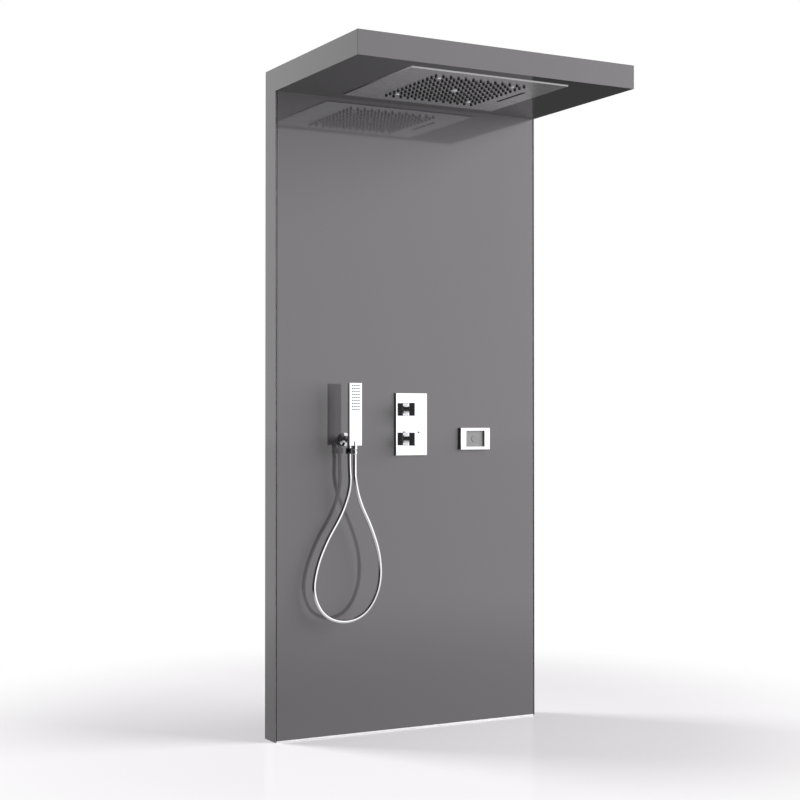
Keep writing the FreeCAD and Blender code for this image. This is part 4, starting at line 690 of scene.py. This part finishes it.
@dataclass
class HandShowerHose:
    """The hose between the wall nut and the handset, with the nuts at its ends.

    Attributes:
        points: the route's control points in metres, from the wall nut to the handset.
        radius: the hose's outer radius.
        order: the order of its spline.
        steps: spline steps from one control point to the next.
        sides: facets round the hose.
        moves_from: where the hose begins to follow the handset.
        moves_to: where it wholly follows the handset.
        lip: the chamfer at the nuts' rims.
        groove: the small chamfer at the edges between.
        facets: the steps of a rounded corner of the hexagon nut.
        cuff_radii: the handset nut's radius at its tip, round its band and at its waist.
        cuff_heights: how far the band's foot, its top, the waist and the collar lie above the nut's foot.
    """

    points: tuple[tuple[float, float, float], ...] = (
        (-0.250, -0.1150, 0.928), (-0.250, -0.1150, 0.884), (-0.247, -0.1170, 0.838),
        (-0.255, -0.1170, 0.790), (-0.282, -0.1170, 0.724), (-0.332, -0.1170, 0.648),
        (-0.371, -0.1180, 0.560), (-0.385, -0.1200, 0.472), (-0.346, -0.1280, 0.398),
        (-0.268, -0.1370, 0.376), (-0.197, -0.1470, 0.409), (-0.156, -0.1540, 0.491),
        (-0.156, -0.1550, 0.590), (-0.190, -0.1550, 0.690), (-0.232, -0.1550, 0.770),
        (-0.251, -0.1570, 0.846), (-0.250, -0.1548, 0.886), (-0.250, -0.1548, 0.926),
    )
    radius: float = 0.0065
    order: int = 3
    steps: int = 24
    sides: int = 24
    moves_from: tuple[float, float, float] = (-0.250, -0.1400, 0.8100)
    moves_to: tuple[float, float, float] = (-0.250, -0.1685, 0.8152)
    lip: float = 0.0010
    groove: float = 0.0004
    facets: int = 3
    cuff_radii: tuple[float, float, float] = (0.0076, 0.0088, 0.0072)
    cuff_heights: tuple[float, float, float, float] = (0.0060, 0.0110, 0.0165, 0.0180)

    def line(self) -> list[Vector]:
        """The points along the smooth route, as its spline gives them."""
        curve = bpy.data.curves.new("hose_route", "CURVE")
        curve.dimensions = "3D"
        spline = curve.splines.new("NURBS")
        spline.points.add(len(self.points) - 1)
        for place, point in zip(self.points, spline.points):
            point.co = (*place, 1.0)
        spline.order_u = self.order
        spline.use_endpoint_u = True
        spline.resolution_u = self.steps
        route = bpy.data.objects.new("hose_route", curve)
        bpy.context.scene.collection.objects.link(route)
        data = bpy.data.meshes.new_from_object(route)
        points = [vertex.co.copy() for vertex in data.vertices]
        bpy.data.meshes.remove(data)
        bpy.data.objects.remove(route)
        bpy.data.curves.remove(curve)
        return points

    def tube(self, line: Sequence[Vector]) -> bmesh.types.BMesh:
        """A round tube along the line, with its length and its turn in a UV map.

        Args:
            line: the points that the tube follows.

        Returns:
            The tube with both ends closed.
        """
        mesh = bmesh.new()
        along = mesh.verts.layers.float.new("along")
        turn = mesh.verts.layers.float.new("turn")
        heading = (line[1] - line[0]).normalized()
        stand = Vector((0, 0, 1)).rotation_difference(heading).to_matrix().to_4x4()
        ring = bmesh.ops.create_circle(mesh, cap_ends=True, segments=self.sides, radius=self.radius)["verts"]
        for index, vert in enumerate(ring):
            vert[turn] = index / self.sides
        bmesh.ops.transform(mesh, matrix=Matrix.Translation(line[0]) @ stand, verts=ring)
        edges = list(mesh.edges)
        reached = 0.0
        for before, here, after in zip(line, line[1:], [*line[2:], line[-1]]):
            facing = (after - before).normalized()
            verts, edges = grown_ring(mesh, edges)
            reached += (here - before).length
            for vert in verts:
                vert[along] = reached
            bmesh.ops.translate(mesh, vec=here - before, verts=verts)
            bend = heading.rotation_difference(facing).to_matrix()
            bmesh.ops.rotate(mesh, cent=here, matrix=bend, verts=verts)
            heading = facing
        bmesh.ops.contextual_create(mesh, geom=edges)
        self.unwrap(mesh)
        return mesh

    def unwrap(self, mesh: bmesh.types.BMesh) -> None:
        """Writes the length along the hose and the turn round it to the UV map."""
        along = mesh.verts.layers.float["along"]
        turn = mesh.verts.layers.float["turn"]
        layer = mesh.loops.layers.uv.new("hose")
        for face in mesh.faces:
            crosses_seam = max(vert[turn] for vert in face.verts) > 1 - SEAM_MARGIN
            for loop in face.loops:
                share = loop.vert[turn]
                if crosses_seam and share < SEAM_MARGIN:
                    share += 1.0
                loop[layer].uv = (loop.vert[along], share)

    def wall_nut(self) -> bmesh.types.BMesh:
        """The hexagon nut under the wall outlet, with a corner towards the room."""
        low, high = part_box("wall_hose_nut")
        centre = middle("wall_hose_nut")
        flat = (high.x - low.x) / 2
        height = high.z - low.z
        rim = flat - self.groove
        profile = ((self.radius, 0.0), (rim, 0.0), (flat, self.lip), (flat, height - self.lip), (rim, height),
                   (self.radius, height))
        foot = Vector((centre.x, centre.y, low.z))
        mesh = turned(profile, foot)
        corners = []
        for vert in mesh.verts:
            spoke = Vector((vert.co.x - foot.x, vert.co.y - foot.y, 0.0))
            if spoke.length > flat - self.groove / 2:
                turn = math.atan2(spoke.x, spoke.y) % HEXAGON_TURN - HEXAGON_TURN / 2
                vert.co += spoke * (1 / math.cos(turn) - 1)
                if abs(abs(turn) - HEXAGON_TURN / 2) < CORNER_MARGIN:
                    corners.append(vert)
        edges = edges_among(mesh.edges, corners)
        bmesh.ops.bevel(mesh, geom=edges, offset=self.groove, segments=self.facets, profile=0.5,
                        affect="EDGES", material=-1)
        return mesh

    def handset_nut(self) -> bmesh.types.BMesh:
        """The turned cuff that joins the hose to the handset, with a waist over its band."""
        low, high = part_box("handset_hose_nut")
        centre = middle("handset_hose_nut")
        outer = (high.x - low.x) / 2
        height = high.z - low.z
        tip, band, waist = self.cuff_radii
        band_foot, band_top, waist_height, collar = self.cuff_heights
        profile = [(self.radius, 0.0), (tip - self.lip / 2, 0.0), (tip, self.lip / 2), (band, band_foot),
                   (band, band_top - self.groove), (band - self.groove, band_top), (waist, waist_height),
                   (outer - self.groove, collar), (outer, collar + self.groove),
                   (outer, height - self.lip / 2), (outer - self.lip / 2, height), (self.radius, height)]
        return turned(profile, Vector((centre.x, centre.y, low.z)))

    def build(self, workshop: Workshop) -> None:
        line = self.line()
        hose = workshop.piece("hose", self.tube(line), None, Slot.CHROME, ("shower_hose",),
                              workshop.hose_skin)
        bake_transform(hose, Body.PANEL.value, Body.HANDSET.value, start=self.moves_from, end=self.moves_to)
        # The wall nut takes the darker copy of the chrome: painted shade for its dark reflections.
        workshop.piece("wall_nut", self.wall_nut(), Body.PANEL, Slot.CHROME, ("wall_hose_nut",),
                       workshop.chrome_painted_shade)
        workshop.piece("handset_nut", self.handset_nut(), Body.HANDSET, Slot.CHROME, ("handset_hose_nut",))


@dataclass
class RainHeadScrews:
    """The countersunk screws of the rain head, each with a hexagon socket.

    Attributes:
        cap: the radius of a screw's cap.
        rim: the width of the turned edge round the cap.
        cone: the radius at the end of the cone behind the cap, and how far behind the cap's face it ends.
        shank: the radius at the screw's end.
        socket: the socket's radius to its corners.
        socket_depth: how deep it is.
        sides: facets round the cap.
    """

    cap: float = 0.0046
    rim: float = 0.0004
    cone: tuple[float, float] = (0.00276, 0.0023)
    shank: float = 0.002484
    socket: float = 0.0018
    socket_depth: float = 0.0016
    sides: int = 36

    def screw(self, x: float, y: float) -> bmesh.types.BMesh:
        """One screw, its cap flush with the face of the head plate.

        Args:
            x: its place across the panel.
            y: its place in front of the wall.

        Returns:
            The screw's cap with its socket, and the cone and shank behind it.
        """
        low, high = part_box("head_screws")
        mesh = bmesh.new()
        inner = bmesh.ops.create_circle(mesh, cap_ends=True, segments=HEXAGON_SIDES,
                                        radius=self.socket)["verts"]
        floor = bmesh.ops.extrude_face_region(mesh, geom=list(mesh.faces))["geom"]
        bmesh.ops.translate(mesh, vec=(0, 0, self.socket_depth), verts=new_verts(floor))
        outer = bmesh.ops.create_circle(mesh, segments=self.sides, radius=self.cap - self.rim)["verts"]
        hexagon = edges_among(mesh.edges, inner)
        edges = edges_among(mesh.edges, outer)
        bmesh.ops.bridge_loops(mesh, edges=hexagon + edges)
        for radius, height in ((self.cap, self.rim), self.cone, (self.shank, high.z - low.z)):
            verts, edges = grown_ring(mesh, edges)
            size = radius / math.hypot(verts[0].co.x, verts[0].co.y)
            rise = height - verts[0].co.z
            bmesh.ops.scale(mesh, vec=(size, size, 1.0), verts=verts)
            bmesh.ops.translate(mesh, vec=(0, 0, rise), verts=verts)
        bmesh.ops.contextual_create(mesh, geom=edges)
        bmesh.ops.translate(mesh, vec=(x, y, low.z), verts=mesh.verts)
        return mesh

    def build(self, workshop: Workshop) -> None:
        """Makes the four screws as one piece."""
        low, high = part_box("head_screws")
        across = (low.x + self.cap, high.x - self.cap)
        outward = (low.y + self.cap, high.y - self.cap)
        screws = joined([self.screw(x, y) for x in across for y in outward])
        workshop.piece("rain_head_screws", screws, Body.PANEL, Slot.BRUSHED, ("head_screws",))


@dataclass
class Buttons:
    """The stop button on the temperature knob and the symbol on the light button.

    Attributes:
        dome: how far the stop button's top bulges.
        edge: the rounding of its rim.
        steps: the facets of the rounding, and those of the dome.
        ring: the symbol's outer and inner radius.
        dot: the radius of the symbol's middle.
        ink: the symbol's thickness.
    """

    dome: float = 0.0003
    edge: float = 0.0007
    steps: int = 4
    ring: tuple[float, float] = (0.0062, 0.0052)
    dot: float = 0.0013
    ink: float = 0.00012

    def stop(self) -> bmesh.types.BMesh:
        """The stop button, with a rounded rim and a slightly domed top."""
        low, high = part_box("stop_button")
        centre = middle("stop_button")
        radius = (high.x - low.x) / 2
        height = high.z - low.z
        flat = radius - self.edge
        shoulder = height - self.dome - self.edge
        profile = [(0.0, 0.0), (radius, 0.0), (radius, shoulder)]
        for step in range(1, self.steps + 1):
            angle = QUARTER_TURN * step / self.steps
            profile.append((flat + self.edge * math.cos(angle), shoulder + self.edge * math.sin(angle)))
        for step in range(1, self.steps + 1):
            share = 1 - step / self.steps
            profile.append((flat * share, height - self.dome * share ** 2))
        return turned(profile, Vector((centre.x, centre.y, low.z)))

    def symbol(self) -> bmesh.types.BMesh:
        """A plain ring with a dot, printed on the light button."""
        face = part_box("light_button")[0].y
        centre = middle("light_button")
        foot = Vector((centre.x, face, centre.z))
        outer, inner = self.ring
        band = [(inner, 0.0), (outer, 0.0), (outer, self.ink), (inner, self.ink), (inner, 0.0)]
        spot = [(0.0, 0.0), (self.dot, 0.0), (self.dot, self.ink), (0.0, self.ink)]
        return joined([turned(band, foot, Axis.OUT), turned(spot, foot, Axis.OUT)])

    def build(self, workshop: Workshop) -> None:
        """Makes the stop button and the symbol."""
        workshop.piece("stop_cap", self.stop(), Body.STOP_BUTTON, Slot.CHROME, ("stop_button",))
        workshop.piece("light_symbol", self.symbol(), Body.LIGHT_BUTTON, Slot.GREY_PLASTIC,
                       material=workshop.symbol_ink)


@dataclass(frozen=True)
class CoilSpring:
    """A compression spring between its seat and the button that presses it together.

    Attributes:
        node: the node that it stands for.
        axis: the direction from its seat to the button.
        seat: the body that it stands on.
        button: the body that presses it.
        wire: its wire's radius.
        turns: the turns of its coil.
        steps: the facets in a turn.
        sides: the facets round the wire.
    """

    node: str
    axis: Axis
    seat: Body
    button: Body
    wire: float = 0.0004
    turns: int = 4
    steps: int = 32
    sides: int = 10

    def ends(self) -> tuple[Vector, Vector]:
        """The middle of its foot and the middle of its head."""
        low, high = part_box(self.node)
        along = Vector(self.axis.value)
        half = along * abs((high - low).dot(along)) / 2
        return middle(self.node) - half, middle(self.node) + half

    def coil(self) -> bmesh.types.BMesh:
        """The wire wound round the axis, with both its ends closed."""
        low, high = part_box(self.node)
        foot, head = self.ends()
        mesh = bmesh.new()
        wire = bmesh.ops.create_circle(mesh, segments=self.sides, radius=self.wire)["verts"]
        bmesh.ops.rotate(mesh, matrix=Matrix.Rotation(QUARTER_TURN, 3, "X"), verts=wire)
        bmesh.ops.translate(mesh, vec=((high.x - low.x) / 2 - self.wire, 0, self.wire), verts=wire)
        steps = self.turns * self.steps
        rise = ((head - foot).length - 2 * self.wire) / steps
        bmesh.ops.spin(mesh, geom=[*mesh.verts, *mesh.edges], cent=(0, 0, 0), axis=(0, 0, 1),
                       dvec=(0, 0, rise), angle=self.turns * math.tau, steps=steps)
        bmesh.ops.holes_fill(mesh, edges=mesh.edges)
        stand = Vector((0, 0, 1)).rotation_difference(head - foot).to_matrix().to_4x4()
        bmesh.ops.transform(mesh, matrix=Matrix.Translation(foot) @ stand, verts=mesh.verts)
        return mesh

    def build(self, workshop: Workshop) -> None:
        """Makes the spring, its foot on the seat and its head on the button."""
        made = workshop.piece(f"{self.node}_coil", self.coil(), None, Slot.ZINC, (self.node,))
        foot, head = self.ends()
        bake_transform(made, self.seat.value, self.button.value, start=foot, end=head)


# Stage


@dataclass(frozen=True)
class SoftLight:
    """A square area light that shows in no reflection.

    Attributes:
        name: the light's name.
        place: where it hangs.
        target: what it faces.
        size: the length of its side.
        power: its power in watts.
    """

    name: str
    place: tuple[float, float, float]
    target: tuple[float, float, float]
    size: float
    power: float

    def build(self) -> None:
        """Makes the light."""
        data = bpy.data.lights.new(self.name, "AREA")
        data.size = self.size
        data.energy = self.power
        made = bpy.data.objects.new(self.name, data)
        made.location = self.place
        aim = Vector(self.target) - Vector(self.place)
        made.rotation_euler = aim.to_track_quat("-Z", "Y").to_euler()
        made.visible_glossy = False
        bpy.context.scene.collection.objects.link(made)


@dataclass(frozen=True)
class BrightSide:
    """A bright side of the room, as glossy surfaces mirror it.

    Attributes:
        heading: where it lies.
        reach: the angles from there at which it ends and at which the dark begins, in degrees.
        light: its brightness.
    """

    heading: tuple[float, float, float]
    reach: tuple[float, float]
    light: float

    def share(self, wiring: Wiring, direction: bpy.types.NodeSocket) -> bpy.types.NodeSocket:
        """How much of this side a direction sees, from 0 to 1."""
        inner, outer = (math.cos(math.radians(angle)) for angle in self.reach)
        return wiring.ease(wiring.towards(direction, self.heading), outer, inner)


@dataclass(frozen=True)
class Studio:
    """The plain stage: a white floor, soft light and the camera.

    Attributes:
        camera_place: where the camera stands.
        yaw: its turn to the right of the panel's own front, in degrees.
        pitch: its tilt above the horizon, in degrees.
        lens: its focal length in millimetres.
        sensor: the width of its sensor in millimetres.
        sides: the bright sides of the room, each laid over those before it.
        dim: the brightness of the rest of the room, as glossy surfaces mirror it.
        ambient: the room's light on matt surfaces.
        floor_size: the side of the floor.
        floor_drop: how far the floor lies below the panel's foot.
        floor_colour: the floor's own colour.
        floor_roughness: its roughness.
        floor_haze: the share of the backdrop's white that lies over it near the object.
        floor_white: the distances at which it begins to fade into the backdrop and is lost in it.
        floor_near: its brightness near the object, as glossy surfaces mirror it.
        floor_far: its brightness far away, as a share of the room's own in that direction.
        floor_rise: the distances between which it goes from the one to the other.
        floor_bounce: the share of this that reaches matt surfaces.
    """

    camera_place: tuple[float, float, float] = (-2.593, -4.730, 1.039)
    yaw: float = 28.76
    pitch: float = 0.73
    lens: float = 70.9
    sensor: float = 36.0
    sides: tuple[BrightSide, ...] = (
        BrightSide((0.40, 0.90, 0.0), (62.0, 88.0), 0.09),
        BrightSide((0.48, -0.876, 0.05), (30.0, 42.0), 1.41),
        BrightSide((-0.48, 0.876, 0.10), (22.0, 40.0), 1.14),
        BrightSide((0.985, -0.17, 0.05), (9.0, 18.0), 1.0),
    )
    dim: float = 0.03
    ambient: float = 0.22
    floor_size: float = 120.0
    floor_drop: float = 0.0005
    floor_colour: Colour = (0.972, 0.94, 0.972)
    floor_roughness: float = 0.08
    floor_haze: float = 0.2
    floor_white: tuple[float, float] = (0.9, 2.0)
    floor_near: float = 0.6
    floor_far: float = 0.87
    floor_rise: tuple[float, float] = (0.3, 4.5)
    floor_bounce: float = 0.13
    lights: tuple[SoftLight, ...] = (
        SoftLight("key", (7.5, -4.8, 2.4), (0.0, -0.1, 1.1), 7.0, 2260.0),
        SoftLight("rim", (-2.9, 3.05, 4.0), (0.0, 0.0, 0.6), 1.8, 260.0),
        SoftLight("top", (0.4, -0.6, 6.5), (0.0, 0.0, 0.0), 4.0, 20.0),
    )

    def camera(self) -> None:
        """Sets up the camera."""
        data = bpy.data.cameras.new("camera")
        data.lens = self.lens
        data.sensor_width = self.sensor
        made = bpy.data.objects.new("camera", data)
        made.location = self.camera_place
        made.rotation_euler = (QUARTER_TURN + math.radians(self.pitch), 0.0, -math.radians(self.yaw))
        bpy.context.scene.collection.objects.link(made)
        bpy.context.scene.camera = made

    def mirrored(self, wiring: Wiring, direction: bpy.types.NodeSocket) -> bpy.types.NodeSocket:
        """The room's brightness in a direction, as glossy surfaces mirror it.

        Args:
            wiring: the node tree of the room or the floor.
            direction: the direction, as a vector of length 1.

        Returns:
            The brightness.
        """
        light: bpy.types.NodeSocket | float = self.dim
        for side in self.sides:
            light = wiring.mix(side.share(wiring, direction), light, side.light)
        return light

    def room(self) -> None:
        """A white backdrop that mirrors as bright sides and a dim rest, and lights matt surfaces evenly."""
        world = bpy.data.worlds.new("room")
        bpy.context.scene.world = world
        world.use_nodes = True
        wiring = Wiring(world.node_tree)
        path = wiring.nodes.new("ShaderNodeLightPath")
        direction = wiring.nodes.new("ShaderNodeTexCoord").outputs["Generated"]
        lit = wiring.mix(path.outputs["Is Glossy Ray"], self.ambient, self.mirrored(wiring, direction))
        seen = wiring.mix(path.outputs["Is Camera Ray"], lit, 1.0)
        background = next(node for node in wiring.nodes if node.type == "BACKGROUND")
        background.inputs["Color"].default_value = (1.0, 1.0, 1.0, 1.0)
        wiring.links.new(seen, background.inputs["Strength"])

    def floor_surface(self) -> bpy.types.Material:
        """A floor that takes shadows near the object, fades into white, and mirrors as a dark floor."""
        surface = Surface("white_floor")
        surface.set(Base_Color=self.floor_colour, Roughness=self.floor_roughness)
        path = surface.nodes.new("ShaderNodeLightPath")
        place = surface.nodes.new("ShaderNodeNewGeometry").outputs["Position"]
        distance = surface.vector("LENGTH", place).outputs["Value"]
        heading = surface.vector("NORMALIZE", place).outputs["Vector"]
        fade = surface.mix(surface.ease(distance, *self.floor_white), self.floor_haze, 1.0)
        seen = surface.overlay(fade, surface.shader.outputs[0], surface.glow())
        distant = surface.nodes.new("ShaderNodeMath")
        distant.operation = "MULTIPLY"
        distant.inputs[1].default_value = self.floor_far
        surface.links.new(self.mirrored(surface, heading), distant.inputs[0])
        rise = surface.ease(distance, *self.floor_rise)
        mirrored = surface.mix(rise, self.floor_near, distant.outputs[0])
        share = surface.mix(path.outputs["Is Glossy Ray"], self.floor_bounce, 1.0)
        whole = surface.overlay(path.outputs["Is Camera Ray"], surface.glow(mirrored, share), seen)
        output = next(node for node in surface.nodes if node.type == "OUTPUT_MATERIAL")
        surface.links.new(whole, output.inputs["Surface"])
        return surface.material

    def floor(self) -> None:
        """A wide floor under the panel's foot."""
        mesh = bmesh.new()
        bmesh.ops.create_grid(mesh, x_segments=1, y_segments=1, size=self.floor_size / 2)
        bmesh.ops.translate(mesh, vec=(0, 0, -self.floor_drop), verts=mesh.verts)
        data = bpy.data.meshes.new("floor")
        mesh.to_mesh(data)
        mesh.free()
        data.materials.append(self.floor_surface())
        made = bpy.data.objects.new("floor", data)
        bpy.context.scene.collection.objects.link(made)

    def build(self) -> None:
        """Makes the whole stage."""
        bpy.context.scene.view_settings.view_transform = "Standard"
        self.camera()
        self.room()
        self.floor()
        for light in self.lights:
            light.build()


def main() -> None:
    """Builds the pieces in order, then the stage."""
    logging.basicConfig(level=logging.INFO, format="%(message)s")
    workshop = Workshop()
    workshop.dress_nodes()
    PaintedPanelEdges().build(workshop)
    HandShowerHose().build(workshop)
    RainHeadScrews().build(workshop)
    Buttons().build(workshop)
    CoilSpring("stop_spring", Axis.UP, Body.TEMP_KNOB, Body.STOP_BUTTON).build(workshop)
    CoilSpring("button_spring", Axis.OUT, Body.PANEL, Body.LIGHT_BUTTON).build(workshop)
    Studio().build()


if __name__ == "__main__":
    main()
